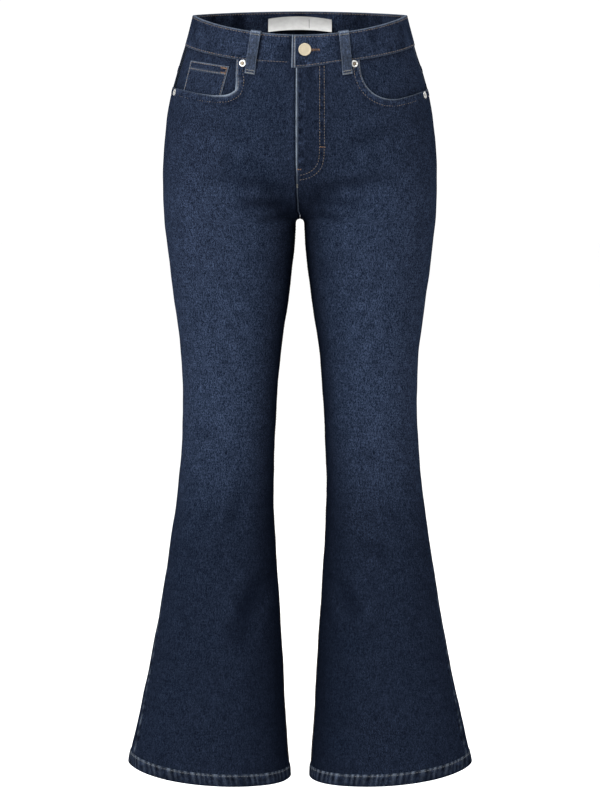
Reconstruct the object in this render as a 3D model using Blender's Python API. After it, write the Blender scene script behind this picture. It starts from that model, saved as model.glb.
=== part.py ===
"""Flared five-pocket jeans, filled out and hollow.

Metres, +Z up, the front towards -Y. The origin is the middle of the waist opening, level
with the top of the waistband at the sides. Left and right are the wearer's, so the left
half is on +X. Every piece of cloth is a wall whose points come from one surface: half_point.
"""
import math

import bmesh
import bpy
import numpy as np
from mathutils import Matrix, Vector

# Cloth and seams
CLOTH = 0.0011
SEAM_GAP = 0.0003
LAYER_GAP = 0.0006
UNDER_GAP = 0.0009

# The body of the garment: half widths, half gap between the legs, front and back depth,
# and how far the side seam turns to the front, in degrees, at each height.
SECTION_NAMES = ("height", "outer", "inner", "front", "back", "turn")
SECTIONS = (
    (0.020, 0.1415, 0.0055, -0.0890, 0.0880, 0),
    (0.000, 0.1445, 0.0055, -0.0920, 0.0910, 0),
    (-0.040, 0.1553, 0.0055, -0.0990, 0.1030, 0),
    (-0.080, 0.1678, 0.0055, -0.1060, 0.1160, 0),
    (-0.120, 0.1775, 0.0055, -0.1110, 0.1260, 0),
    (-0.160, 0.1829, 0.0055, -0.1130, 0.1310, 0),
    (-0.200, 0.1857, 0.0055, -0.1130, 0.1290, 0),
    (-0.240, 0.1860, 0.0055, -0.1110, 0.1200, 0),
    (-0.275, 0.1840, 0.0057, -0.1090, 0.1080, 0),
    (-0.320, 0.1790, 0.0090, -0.1060, 0.0940, 0),
    (-0.380, 0.1712, 0.0160, -0.1015, 0.0800, 0),
    (-0.450, 0.1622, 0.0261, -0.0940, 0.0660, 1),
    (-0.520, 0.1597, 0.0322, -0.0840, 0.0560, 3),
    (-0.580, 0.1620, 0.0350, -0.0740, 0.0520, 5),
    (-0.650, 0.1689, 0.0365, -0.0640, 0.0580, 7),
    (-0.720, 0.1795, 0.0337, -0.0580, 0.0660, 10),
    (-0.800, 0.1920, 0.0291, -0.0580, 0.0710, 13),
    (-0.880, 0.2070, 0.0240, -0.0620, 0.0740, 16),
    (-0.960, 0.2238, 0.0198, -0.0690, 0.0770, 19),
    (-1.030, 0.2400, 0.0146, -0.0770, 0.0800, 21),
    (-1.065, 0.2485, 0.0120, -0.0810, 0.0815, 22),
)
SECTION = dict(zip(SECTION_NAMES, np.array(SECTIONS)[::-1].T))
SQUARE = 0.035
INSEAM_TURN = 0.4

# Where the oval of the hips parts into two legs
CROTCH_HEIGHT = -0.2715
ARCH_RADIUS = 0.006
ARCH_REACH = 0.09
FRONT_CURVE_TOP = -0.165
BACK_CURVE_TOP = -0.150
PART_TOP = -0.155
PART_BOTTOM = -0.300
NEAR_SEAM = 0.16

# Waistband
FRONT_DIP = 0.023
BACK_RISE = 0.006
BAND_HEIGHT = 0.0385
BAND_PROUD = 0.0006
BAND_THICK = 0.0028
BAND_OVERLAP = 0.010
BAND_UNDERLAP = 0.034
# Where the right end begins to sink under the left, in quarters of the waist, and over how much
SINK_START = 3.78
SINK_RUN = 0.14

# Fly: the left front's edge lies a little past the middle
FLY_SHIFT = 0.0053
FLY_STRAIGHT_TO = -0.252
FLY_LEVEL = -0.120
# Hidden strips behind the fly, from the front inwards; x is towards the wearer's left
FLY_STRIP_NAMES = ("name", "x_from", "x_to", "top", "foot", "columns", "rows", "layer", "thick", "finish")
FLY_STRIPS = (
    ("fly_facing", 0.0000, 0.0340, -0.0400, -0.1850, 3, 8, 1, 0.0011, "denim"),
    ("zip_tape", -0.0080, 0.0180, -0.0780, -0.1790, 2, 8, 2, 0.0010, "zip"),
    ("zip_slider", 0.0010, 0.0090, -0.0640, -0.0765, 1, 1, 2, 0.0010, "zip"),
    ("fly_shield", -0.0140, 0.0360, -0.0400, -0.1890, 4, 8, 3, 0.0011, "denim"),
)

# Hem line, rising from the inseam to the outseam
HEM_INSEAM = -1.050
HEM_SLOPE = 0.0925
HEM_SLANT_TOP = -0.750
HEM_HEIGHT = 0.016
HEM_PROUD = 0.0006
HEM_THICK = 0.0028

# Panel grids; below the pocket mouths the columns stay crowded towards the middle for a while
COLUMNS = 12
FRONT_COLUMNS = 14
WAIST_COLUMNS = 4
TOP_ROWS = 5
TOP_BOTTOM = -0.125
CROWDING = 0.7
CROWD_BOTTOM = -0.240
YOKE_ROWS = 5
BACK_TOP_ROWS = 3
YOKE_AT_CENTRE = -0.100
YOKE_AT_SIDE = -0.074
# Runs of rows below the top part: the height each goes down to, and its rows
ROW_RUNS = ((-0.2715, 13), (-0.2785, 2), (-0.360, 4), (-1.034, 21))

# Edges of the two front pocket mouths, x and z from the waistband to the side seam
SCOOPS = {
    "left": (
        (0.0753, -0.0560), (0.0768, -0.0760), (0.0840, -0.0925), (0.1006, -0.1033),
        (0.1181, -0.1076), (0.1365, -0.1069), (0.1530, -0.1040), (0.1690, -0.1000),
    ),
    "right": (
        (0.0807, -0.0550), (0.0824, -0.0760), (0.0838, -0.0900), (0.0900, -0.1005),
        (0.1100, -0.1046), (0.1358, -0.1036), (0.1539, -0.1001), (0.1700, -0.0960),
    ),
}
MOUTH_GAPE = 0.0012
FACING_DEPTH = {"left": CLOTH + UNDER_GAP, "right": 2 * CLOTH + UNDER_GAP + LAYER_GAP}
FACING_BOTTOM = -0.122
FACING_TUCK = 0.012
FACING_LEVEL = -0.080

# Coin pocket on the right facing: its two sides, its sloping head, and its hidden foot
COIN_SIDES = (0.1005, 0.1500)
COIN_HEAD = -0.0668
COIN_SLOPE = 0.135
COIN_FOOT = -0.114

# Largest soft folds; x is the distance from the middle, and troughs have a negative depth
FOLD_NAMES = ("panel", "x_from", "z_from", "x_to", "z_to", "bow", "width", "depth")
FOLDS = (
    ("front_right", 0.012, -0.2330, 0.120, -0.2060, 0.004, 0.0095, -0.0028),
    ("front_right", 0.010, -0.2500, 0.085, -0.2440, 0.003, 0.0080, -0.0026),
    ("front_right", 0.030, -0.1990, 0.130, -0.1800, 0.003, 0.0100, -0.0016),
    ("front_left", 0.012, -0.2310, 0.112, -0.2070, 0.003, 0.0090, -0.0028),
    ("front_left", 0.010, -0.2450, 0.080, -0.2410, 0.002, 0.0080, -0.0022),
    ("front_left", 0.055, -0.1690, 0.135, -0.1510, 0.003, 0.0100, -0.0014),
    ("back_right", 0.020, -0.2620, 0.125, -0.2400, 0.006, 0.0120, -0.0034),
    ("back_right", 0.030, -0.3000, 0.125, -0.2900, 0.006, 0.0140, -0.0026),
    ("back_left", 0.018, -0.2580, 0.120, -0.2450, 0.006, 0.0120, -0.0032),
    ("back_left", 0.035, -0.3060, 0.130, -0.2900, 0.005, 0.0150, -0.0028),
    ("back_right", 0.050, -0.5500, 0.140, -0.5650, 0.005, 0.0170, -0.0032),
    ("back_right", 0.060, -0.6100, 0.140, -0.5950, 0.004, 0.0160, -0.0026),
    ("back_left", 0.055, -0.5600, 0.145, -0.5500, 0.005, 0.0170, -0.0032),
    ("back_left", 0.050, -0.6000, 0.135, -0.6200, 0.004, 0.0160, -0.0026),
)

# Back patch pockets: middle, top, size, and how far the point drops
POCKET_MIDDLE = 0.090
POCKET_TOP = -0.122
POCKET_WIDTH = 0.134
POCKET_HEIGHT = 0.118
POCKET_POINT = 0.020
POCKET_TAPER = 0.008
POCKET_LIFT = 0.0011

# Belt loops
LOOP_WIDTH = 0.0140
LOOP_THICK = 0.0018
LOOP_LEVEL = -0.020
LOOP_NAMES = ("side", "rear", "x_top", "x_bottom")
LOOPS = (
    (1, False, 0.0568, 0.0625),
    (-1, False, 0.0574, 0.0662),
    (1, True, 0.0840, 0.0900),
    (-1, True, 0.0840, 0.0900),
    (1, True, 0.0000, 0.0000),
)
# Middle line of a loop: how far below the waist edge, and how far out from the body
LOOP_PATH = (
    (-0.0013, -0.0012), (-0.0014, 0.0014), (0.0008, 0.0040), (0.0060, 0.0044), (0.0200, 0.0044),
    (0.0340, 0.0042), (0.0400, 0.0036), (0.0470, 0.0018), (0.0566, 0.0014),
)
REAR_LOOP_PATH = (
    (0.0008, 0.0020), (0.0016, 0.0034), (0.0034, 0.0042), (0.0080, 0.0044), (0.0200, 0.0044),
    (0.0340, 0.0042), (0.0400, 0.0036), (0.0470, 0.0018), (0.0566, 0.0014),
)

# Profiles of the round pieces: radius and height above the cloth
BUTTON_PLACE = (0.0063, -0.0422)
BUTTON_PROFILE = (
    (0, 0), (0.0042, 0), (0.0042, 0.0012), (0.0080, 0.0014), (0.0087, 0.0021),
    (0.0085, 0.0030), (0.0076, 0.0034), (0.0068, 0.0031), (0, 0.0031),
)
RIVET_PROFILE = (
    (0, 0), (0.0048, 0), (0.0049, 0.0006), (0.0045, 0.0013), (0.0034, 0.0013),
    (0.0026, 0.0008), (0.0015, 0.0010), (0, 0.0016),
)
RIVET_NAMES = ("side", "x", "z")
RIVETS = (
    (-1, 0.0772, -0.0620),
    (-1, 0.1702, -0.1020),
    (1, 0.0740, -0.0622),
    (1, 0.1690, -0.1060),
)
LABEL_WIDTH = 0.088
LABEL_HEIGHT = 0.020
LABEL_DROP = 0.005
LABEL_THICK = 0.001

SHARP_ANGLE = math.radians(40)
MERGE = 1e-5

# Colours, roughness and metal of each finish
FINISHES = {
    "denim": ((0.020, 0.036, 0.075), 0.85, 0.0),
    "denim_band": ((0.021, 0.032, 0.062), 0.85, 0.0),
    "label_cloth": ((0.50, 0.50, 0.49), 0.8, 0.0),
    "zip": ((0.35, 0.27, 0.13), 0.4, 1.0),
    "pale_brass": ((0.72, 0.60, 0.42), 0.3, 1.0),
    "nickel": ((0.62, 0.62, 0.60), 0.3, 1.0),
}


def finish(name):
    """The material of this name, made the first time it is asked for."""
    if name in bpy.data.materials:
        return bpy.data.materials[name]
    colour, roughness, metallic = FINISHES[name]
    material = bpy.data.materials.new(name)
    material.use_nodes = True
    shader = material.node_tree.nodes["Principled BSDF"]
    shader.inputs["Base Color"].default_value = (*colour, 1)
    shader.inputs["Roughness"].default_value = roughness
    shader.inputs["Metallic"].default_value = metallic
    material.diffuse_color = (*colour, 1)
    return material


def ease(t):
    t = np.clip(t, 0, 1)
    return t * t * (3 - 2 * t)


def smooth_curve(knots, values, at):
    """Values at places along a smooth curve through (knots, values)."""
    slopes = np.gradient(values, knots)
    at = np.clip(at, knots[0], knots[-1])
    low = np.clip(np.searchsorted(knots, at) - 1, 0, len(knots) - 2)
    span = knots[low + 1] - knots[low]
    t = (at - knots[low]) / span
    start = (1 + 2 * t) * values[low] + t * span * slopes[low]
    end = (3 - 2 * t) * values[low + 1] - (1 - t) * span * slopes[low + 1]
    return (1 - t) ** 2 * start + t * t * end


def size_at(name, z):
    """A column of the section table at height z."""
    return smooth_curve(SECTION["height"], SECTION[name], z)


def oval(angle, middle_x, half_width, middle_y, depth):
    """x and y on a slightly squared oval; angle 0 is the side, positive towards the back."""
    reach = 1 + SQUARE * np.sin(2 * angle) ** 2
    return middle_x + half_width * reach * np.cos(angle), middle_y + depth * reach * np.sin(angle)


def half_point(u, z, rear):
    """Point on the left half of the body, u from the centre or inseam (0) to the side seam (1)."""
    u, z = np.broadcast_arrays(np.asarray(u, float), np.asarray(z, float))
    way = 1 if rear else -1
    outer = size_at("outer", z)
    middle_y = (size_at("front", z) + size_at("back", z)) / 2
    depth = (size_at("back", z) - size_at("front", z)) / 2
    inner = size_at("inner", z)
    turn = np.radians(size_at("turn", z))
    hip_x, hip_y = oval(way * (1 - u) * np.pi / 2, 0, outer, middle_y, depth)
    leg_angle = (way * np.pi + INSEAM_TURN * turn) * (1 - u) - turn * u
    leg_x, leg_y = oval(leg_angle, (outer + inner) / 2, (outer - inner) / 2, middle_y, depth)
    curve_top = BACK_CURVE_TOP if rear else FRONT_CURVE_TOP
    fall = np.clip((curve_top - z) / (curve_top - CROTCH_HEIGHT), 0, 1)
    curve = 1 - np.sqrt(1 - fall ** 2)
    spread = ease((PART_TOP - z) / (PART_TOP - PART_BOTTOM))
    near = np.exp(-(u / NEAR_SEAM) ** 2)
    leg = near * curve + (1 - near) * spread
    below = np.clip((CROTCH_HEIGHT - z) / ARCH_RADIUS, 0, 1)
    arch = inner * (1 - np.sqrt(below * (2 - below))) * np.exp(-(u / ARCH_REACH) ** 2)
    return np.stack([hip_x + leg * (leg_x - arch - hip_x), hip_y + leg * (leg_y - hip_y), z], -1)


def half_normal(u, z, rear):
    """Outward normal of the left half of the body."""
    step = 1e-3
    lowest = np.minimum(np.min(u), 0)
    across = half_point(np.minimum(u + step, 1), z, rear) - half_point(np.maximum(u - step, lowest), z, rear)
    down = half_point(u, z - step, rear) - half_point(u, z + step, rear)
    normal = np.cross(across, down) * (1 if rear else -1)
    return normal / np.linalg.norm(normal, axis=-1, keepdims=True)


def fold_height(points, panel):
    """How far the soft folds of a panel lift or sink its surface."""
    height = np.zeros(len(points))
    for fold in FOLDS:
        row = dict(zip(FOLD_NAMES, fold))
        if row["panel"] != panel:
            continue
        start = np.array((row["x_from"], row["z_from"]))
        run = np.array((row["x_to"], row["z_to"])) - start
        length = np.hypot(*run)
        offset = points[:, [0, 2]] - start
        along = offset @ run / length ** 2
        beside = (offset @ np.array((-run[1], run[0]))) / length
        inside = np.clip(along, 0, 1)
        beside = beside - row["bow"] * 4 * inside * (1 - inside)
        taper = np.sin(np.pi * inside) ** 0.7
        height += row["depth"] * taper * np.exp(-(beside / row["width"]) ** 2)
    return height


def place(side, rear, u, z, out):
    """Points of a panel: side is 1 for the wearer's left, and out is the distance from the body."""
    points = half_point(u, z, rear)
    panel = ("back_" if rear else "front_") + ("left" if side > 0 else "right")
    lift = out + fold_height(points, panel)
    points = points + half_normal(u, z, rear) * np.asarray(lift)[..., None]
    return points * (side, 1, 1)


def u_at(x, z, rear=False):
    """Where on the half section a distance x from the middle lies."""
    us = np.linspace(-0.08, 1, 800)
    line = half_point(us, np.full_like(us, z), rear)
    return float(np.interp(x, line[:, 0], us))


def spot(side, rear, x, z):
    """A point of the body and its outward normal, as vectors."""
    u = np.array([u_at(x, z, rear)])
    z = np.array([z])
    point = half_point(u, z, rear)[0] * (side, 1, 1)
    normal = half_normal(u, z, rear)[0] * (side, 1, 1)
    return Vector(point), Vector(normal)


def waist_edge(u, rear):
    """Height of the waistband's top edge."""
    middle = np.cos(u * np.pi / 2) ** 2
    return middle * (BACK_RISE if rear else -FRONT_DIP)


def band_seam(u, rear):
    return waist_edge(u, rear) - BAND_HEIGHT


def hem_line(points_x):
    return HEM_INSEAM + HEM_SLOPE * np.abs(points_x)


def wall(name, columns, rows, shape, material, closed=False):
    """A cloth wall: a grid extruded to two layers, each point set by shape(column, row, layer)."""
    grid = bmesh.new()
    to_indices = Matrix.Translation((columns / 2, rows / 2, 0)) @ Matrix.Diagonal((columns / 2, rows / 2, 1, 1))
    bmesh.ops.create_grid(grid, x_segments=columns, y_segments=rows, size=1, matrix=to_indices)
    inside = bmesh.ops.extrude_face_region(grid, geom=grid.faces[:], use_keep_orig=True)["geom"]
    inside = [item for item in inside if isinstance(item, bmesh.types.BMVert)]
    bmesh.ops.translate(grid, verts=inside, vec=(0, 0, 1))
    if closed:
        ends = [face for face in grid.faces
                if all(v.co.x < 0.5 for v in face.verts) or all(v.co.x > columns - 0.5 for v in face.verts)]
        bmesh.ops.delete(grid, geom=ends, context="FACES_ONLY")
    index = np.rint([v.co[:] for v in grid.verts])
    for vert, point in zip(grid.verts, shape(index[:, 0], index[:, 1], index[:, 2])):
        vert.co = point
    if closed:
        bmesh.ops.remove_doubles(grid, verts=grid.verts, dist=MERGE)
    return finished(name, grid, material)


def finished(name, grid, material):
    """Makes an object of a bmesh, with its faces outwards."""
    bmesh.ops.recalc_face_normals(grid, faces=grid.faces)
    if grid.calc_volume(signed=True) < 0:
        bmesh.ops.reverse_faces(grid, faces=grid.faces)
    mesh = bpy.data.meshes.new(name)
    grid.to_mesh(mesh)
    grid.free()
    mesh.materials.append(finish(material))
    mesh.shade_smooth()
    mesh.set_sharp_from_angle(angle=SHARP_ANGLE)
    piece = bpy.data.objects.new(name, mesh)
    piece.parent = bpy.data.objects["jeans"]
    bpy.context.scene.collection.objects.link(piece)
    return piece


def row_heights():
    """Heights of a leg panel's rows below its top part, at the inseam."""
    heights = [TOP_BOTTOM]
    for down_to, rows in ROW_RUNS:
        heights.extend(np.linspace(heights[-1], down_to, rows + 1)[1:])
    return np.array(heights)


def inner_edge(side, rear, z):
    """u of a panel's edge at the centre seam and the inseam."""
    gap = SEAM_GAP / 2 / (size_at("outer", z) * np.pi / 2)
    if rear:
        return gap
    straight = ease((z - CROTCH_HEIGHT - ARCH_RADIUS) / (FLY_STRAIGHT_TO - CROTCH_HEIGHT))
    return gap - side * straight * FLY_SHIFT / (size_at("outer", z) * np.pi / 2)


def scoop_curve(side_name, count):
    """Evenly spaced (u, z) points along a pocket mouth, on a smooth curve."""
    girth = size_at("outer", TOP_BOTTOM) * np.pi / 2
    corners = np.array([(u_at(x, z) * girth, z) for x, z in SCOOPS[side_name]])
    corners[-1, 0] = (1 - SEAM_GAP) * girth
    along = np.concatenate([[0], np.cumsum(np.hypot(*np.diff(corners, axis=0).T))])
    at = np.linspace(0, along[-1], count)
    return np.stack([smooth_curve(along, corners[:, 0], at) / girth, smooth_curve(along, corners[:, 1], at)], -1)


def front_top_edge(side, side_name):
    """(u, z) of a front panel's top edge: the waist seam, then down and along the pocket mouth."""
    scoop = scoop_curve(side_name, FRONT_COLUMNS - WAIST_COLUMNS + 1)
    scoop[0, 1] = band_seam(scoop[0, 0], False) - SEAM_GAP
    start = inner_edge(side, False, scoop[0, 1])
    waist = np.linspace(start, scoop[0, 0], WAIST_COLUMNS + 1)[:-1]
    return np.concatenate([np.stack([waist, band_seam(waist, False) - SEAM_GAP], -1), scoop])


def yoke_seam(u):
    return YOKE_AT_CENTRE + (YOKE_AT_SIDE - YOKE_AT_CENTRE) * u


def leg_rows(side, rear, column, row, columns, top_u, top_z, top_rows):
    """(u, z) of a leg panel's points: rows ease from the top edge to level, then to the hem."""
    heights = row_heights()
    down = np.clip(row / top_rows, 0, 1)
    level = np.clip(row - top_rows, 0, len(heights) - 1).astype(int)
    z = heights[level]
    start = inner_edge(side, rear, z)
    even_u = start + (1 - SEAM_GAP - start) * column / columns
    pick = column.astype(int)
    crowd = CROWDING * (1 - ease((TOP_BOTTOM - z) / (TOP_BOTTOM - CROWD_BOTTOM)))
    foot_u = even_u + crowd * (top_u[pick] - even_u)
    u = (1 - down) * top_u[pick] + down * foot_u
    z = (1 - down) * top_z[pick] + down * z
    bottom = hem_line(half_point(u, z, rear)[..., 0]) + HEM_HEIGHT + SEAM_GAP
    return u, z + (bottom - heights[-1]) * ease((z - HEM_SLANT_TOP) / (heights[-1] - HEM_SLANT_TOP))


def front_panel(side, side_name):
    edge = front_top_edge(side, side_name)

    def shape(column, row, layer):
        u, z = leg_rows(side, False, column, row, FRONT_COLUMNS, edge[:, 0], edge[:, 1], TOP_ROWS)
        along = np.clip((column - WAIST_COLUMNS) / (FRONT_COLUMNS - WAIST_COLUMNS), 0, 1)
        gape = MOUTH_GAPE * np.sin(np.pi * along) * np.clip(1 - row / TOP_ROWS, 0, 1) ** 2
        return place(side, False, u, z, gape - layer * CLOTH)

    rows = TOP_ROWS + len(row_heights()) - 1
    return wall("front_" + side_name, FRONT_COLUMNS, rows, shape, "denim")


def back_panel(side, side_name):
    first = inner_edge(side, True, YOKE_AT_CENTRE)
    top_u = np.linspace(first, 1 - SEAM_GAP, COLUMNS + 1)
    top_z = yoke_seam(top_u) - SEAM_GAP / 2

    def shape(column, row, layer):
        u, z = leg_rows(side, True, column, row, COLUMNS, top_u, top_z, BACK_TOP_ROWS)
        return place(side, True, u, z, -layer * CLOTH)

    return wall("back_" + side_name, COLUMNS, BACK_TOP_ROWS + len(row_heights()) - 1, shape, "denim")


def yoke(side, side_name):
    def shape(column, row, layer):
        start = inner_edge(side, True, YOKE_AT_CENTRE)
        u = start + (1 - SEAM_GAP - start) * column / COLUMNS
        top = band_seam(u, True) - SEAM_GAP
        z = top + (yoke_seam(u) + SEAM_GAP / 2 - top) * row / YOKE_ROWS
        return place(side, True, u, z, -layer * CLOTH)

    return wall("yoke_" + side_name, COLUMNS, YOKE_ROWS, shape, "denim")


def facing(side, side_name):
    """The cloth behind a pocket mouth, from under the front panel to the side seam."""
    columns, rows = 8, 6
    start_x = SCOOPS[side_name][0][0] - FACING_TUCK
    depth = FACING_DEPTH[side_name]

    def shape(column, row, layer):
        first = u_at(start_x, FACING_LEVEL)
        u = first + (1 - SEAM_GAP - first) * column / columns
        top = band_seam(u, False) - SEAM_GAP
        z = top + (FACING_BOTTOM - top) * row / rows
        return place(side, False, u, z, -depth - layer * CLOTH)

    return wall("pocket_facing_" + side_name, columns, rows, shape, "denim")


def coin_pocket():
    """The small pocket on the wearer's right facing, its foot tucked behind the front."""
    columns, rows = 6, 5

    def shape(column, row, layer):
        x = COIN_SIDES[0] + (COIN_SIDES[1] - COIN_SIDES[0]) * column / columns
        u = np.array([u_at(a, FACING_LEVEL) for a in x])
        head = COIN_HEAD + COIN_SLOPE * (x - COIN_SIDES[0])
        z = head + (COIN_FOOT - head) * row / rows
        return place(-1, False, u, z, -CLOTH - UNDER_GAP - layer * CLOTH)

    return wall("coin_pocket", columns, rows, shape, "denim")


def around(turn, z, out):
    """A point on the waist, turn from the front middle by the wearer's left, a quarter at a time."""
    angle = (turn - 1) * np.pi / 2
    outer = size_at("outer", z)
    middle_y = (size_at("front", z) + size_at("back", z)) / 2
    depth = (size_at("back", z) - size_at("front", z)) / 2
    x, y = oval(angle, 0, outer, middle_y, depth)
    ahead_x, ahead_y = oval(angle + 1e-3, 0, outer, middle_y, depth)
    length = np.hypot(ahead_x - x, ahead_y - y)
    return np.stack([x + (ahead_y - y) / length * out, y - (ahead_x - x) / length * out, z], -1)


def waistband():
    """One curved strip: its left end laps over its right end at the front."""
    columns, rows = 56, 3
    quarter = SECTION["outer"][-2] * np.pi / 2
    first, last = -BAND_OVERLAP / quarter, 4 + BAND_UNDERLAP / quarter
    under = BAND_THICK + 2 * LAYER_GAP

    def shape(column, row, layer):
        turn = first + (last - first) * column / columns
        front = -np.sin((turn - 1) * np.pi / 2)
        top = np.where(front > 0, -FRONT_DIP, BACK_RISE) * front ** 2
        z = top - BAND_HEIGHT * row / rows
        sunk = under * ease((turn - SINK_START) / SINK_RUN)
        return around(turn, z, BAND_PROUD - sunk - layer * BAND_THICK)

    return wall("waistband", columns, rows, shape, "denim_band")


def fly_strip(name, x_from, x_to, top, foot, columns, rows, depth, thick, material):
    """An upright hidden strip behind the fly, cut off below the waistband."""
    def shape(column, row, layer):
        x = x_from + (x_to - x_from) * column / columns
        u = x / (size_at("outer", FLY_LEVEL) * np.pi / 2)
        head = np.minimum(top, band_seam(u, False) - 2 * SEAM_GAP)
        z = head + (foot - head) * row / rows
        return place(1, False, u, z, -depth * (CLOTH + UNDER_GAP) - layer * thick)

    return wall(name, columns, rows, shape, material)


def hem(side, side_name):
    """The turned-up hem: a closed ring at the foot of a leg."""
    columns, rows = 2 * COLUMNS, 2

    def shape(column, row, layer):
        share = column / COLUMNS
        rear = share > 1
        u = np.where(rear, 2 - share, share)
        z = np.full(len(u), HEM_INSEAM)
        for _ in range(4):
            x = np.where(rear, half_point(u, z, True)[:, 0], half_point(u, z, False)[:, 0])
            z = hem_line(x) + HEM_HEIGHT * (1 - row / rows)
        out = HEM_PROUD - layer * HEM_THICK
        fronts, backs = place(side, False, u, z, out), place(side, True, u, z, out)
        return np.where(rear[:, None], backs, fronts)

    return wall("hem_" + side_name, columns, rows, shape, "denim_band", closed=True)


def back_pocket(side, side_name):
    columns, rows = 10, 12

    def shape(column, row, layer):
        across = column / columns * 2 - 1
        down = row / rows
        width = POCKET_WIDTH / 2 - POCKET_TAPER * down
        x = POCKET_MIDDLE + across * width
        z = POCKET_TOP - down * (POCKET_HEIGHT + POCKET_POINT * (1 - np.abs(across)))
        u = np.array([u_at(a, b, True) for a, b in zip(x, z)])
        return place(side, True, u, z, POCKET_LIFT + (1 - layer) * CLOTH)

    return wall("back_pocket_" + side_name, columns, rows, shape, "denim")


def belt_loop(number, side, rear, x_top, x_bottom):
    """A folded strip down the band and past its seam; a front one starts over the waist edge."""
    path = np.array(REAR_LOOP_PATH if rear else LOOP_PATH)
    columns, rows = 2, len(path) - 1
    run = np.gradient(path, axis=0)
    run /= np.linalg.norm(run, axis=1, keepdims=True)

    def shape(column, row, layer):
        step = row.astype(int)
        shift = (0.5 - layer) * LOOP_THICK
        down = path[step, 0] - run[step, 1] * shift
        out = path[step, 1] + run[step, 0] * shift
        share = np.clip(path[step, 0] / path[-1, 0], 0, 1)
        x = x_top + (x_bottom - x_top) * share + (column / columns - 0.5) * LOOP_WIDTH
        quarter = np.arcsin(np.clip(np.abs(x) / size_at("outer", LOOP_LEVEL), 0, 1)) / (np.pi / 2)
        z = waist_edge(quarter, rear) - down
        flip = np.where(x < 0, -1, 1)
        u = np.array([u_at(abs(a), b, rear) for a, b in zip(x, z)])
        points = half_point(u, z, rear) + half_normal(u, z, rear) * out[:, None]
        points[:, 0] *= flip * side
        return points

    return wall(f"belt_loop_{number}", columns, rows, shape, "denim_band")


def turned(name, profile, steps, point, normal, lift, material):
    """A round piece: its profile (radius, height) spun on the normal of the cloth it sits on."""
    shape = bmesh.new()
    verts = [shape.verts.new((radius, 0, height)) for radius, height in profile]
    edges = [shape.edges.new(pair) for pair in zip(verts, verts[1:])]
    bmesh.ops.spin(shape, geom=verts + edges, cent=(0, 0, 0), axis=(0, 0, 1), angle=2 * math.pi,
                   steps=steps, use_merge=True)
    bmesh.ops.remove_doubles(shape, verts=shape.verts, dist=MERGE)
    piece = finished(name, shape, material)
    piece.location = point + normal * lift
    piece.rotation_euler = normal.to_track_quat("Z", "Y").to_euler()
    return piece


def label():
    columns, rows = 10, 2
    depth = BAND_THICK - BAND_PROUD + LAYER_GAP
    half = LABEL_WIDTH / 2 / (size_at("outer", 0.0) * np.pi / 2)

    def shape(column, row, layer):
        turn = 2 + half * (column / columns * 2 - 1)
        back = np.sin((turn - 1) * np.pi / 2)
        z = BACK_RISE * back ** 2 - LABEL_DROP - LABEL_HEIGHT * row / rows
        return around(turn, z, -depth - layer * LABEL_THICK)

    return wall("label", columns, rows, shape, "label_cloth")


def build():
    for old in list(bpy.data.objects):
        bpy.data.objects.remove(old)
    bpy.context.scene.collection.objects.link(bpy.data.objects.new("jeans", None))
    for side, side_name in ((1, "left"), (-1, "right")):
        front_panel(side, side_name)
        back_panel(side, side_name)
        yoke(side, side_name)
        facing(side, side_name)
        hem(side, side_name)
        back_pocket(side, side_name)
    coin_pocket()
    waistband()
    label()
    for strip in FLY_STRIPS:
        row = dict(zip(FLY_STRIP_NAMES, strip))
        fly_strip(row["name"], row["x_from"], row["x_to"], row["top"], row["foot"], row["columns"],
                  row["rows"], row["layer"], row["thick"], row["finish"])
    for number, loop in enumerate(LOOPS, 1):
        row = dict(zip(LOOP_NAMES, loop))
        belt_loop(number, row["side"], row["rear"], row["x_top"], row["x_bottom"])
    point, normal = spot(1, False, *BUTTON_PLACE)
    turned("button", BUTTON_PROFILE, 24, point, normal, BAND_PROUD + SEAM_GAP, "pale_brass")
    for number, rivet in enumerate(RIVETS, 1):
        row = dict(zip(RIVET_NAMES, rivet))
        point, normal = spot(row["side"], False, row["x"], row["z"])
        turned(f"rivet_{number}", RIVET_PROFILE, 16, point, normal, 2 * SEAM_GAP, "nickel")


build()
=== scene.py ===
"""The looks of the flared five-pocket jeans: cloth, sewing, metal, light and camera.

Metres, +Z up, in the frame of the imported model, with left and right as the wearer's, so the
left half is on +X. Each piece of cloth is a thin wall on the form of its solid, finer, with
its creases, turned edges and seams, and its points come from the same surface: half_point.
"""
import math
from functools import partial

import bmesh
import bpy
import numpy as np
from mathutils import Matrix, Vector


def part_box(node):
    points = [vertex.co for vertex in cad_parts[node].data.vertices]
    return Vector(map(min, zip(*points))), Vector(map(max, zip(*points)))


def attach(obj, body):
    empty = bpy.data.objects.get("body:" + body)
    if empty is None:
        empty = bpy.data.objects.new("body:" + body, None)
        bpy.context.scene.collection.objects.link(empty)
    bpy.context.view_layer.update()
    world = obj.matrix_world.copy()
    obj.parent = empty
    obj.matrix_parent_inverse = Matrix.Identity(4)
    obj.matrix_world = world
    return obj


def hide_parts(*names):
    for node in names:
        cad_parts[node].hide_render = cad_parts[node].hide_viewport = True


SIDE_NAMES = {1: "left", -1: "right"}
MARKS = ("wash_and_shade", "wear", "pucker")


def by_column(names, rows):
    """A table's columns by name, turned over so that its heights rise."""
    return dict(zip(names, np.array(rows)[::-1].T))


def by_row(names, rows):
    """A table's rows, each with its values by name."""
    return [dict(zip(names, row)) for row in rows]


# Cloth and seams
CLOTH = 0.0011
SEAM_GAP = 0.0003
LAYER_GAP = 0.0006
GROOVE_DEPTH = 0.00055
GROOVE_REACH = 0.0011
SWELL_PLACE = 0.0042
SWELL_REACH = 0.0026
UNDER_GAP = 0.0009
SEAM_TUCK = 0.0018

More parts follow.
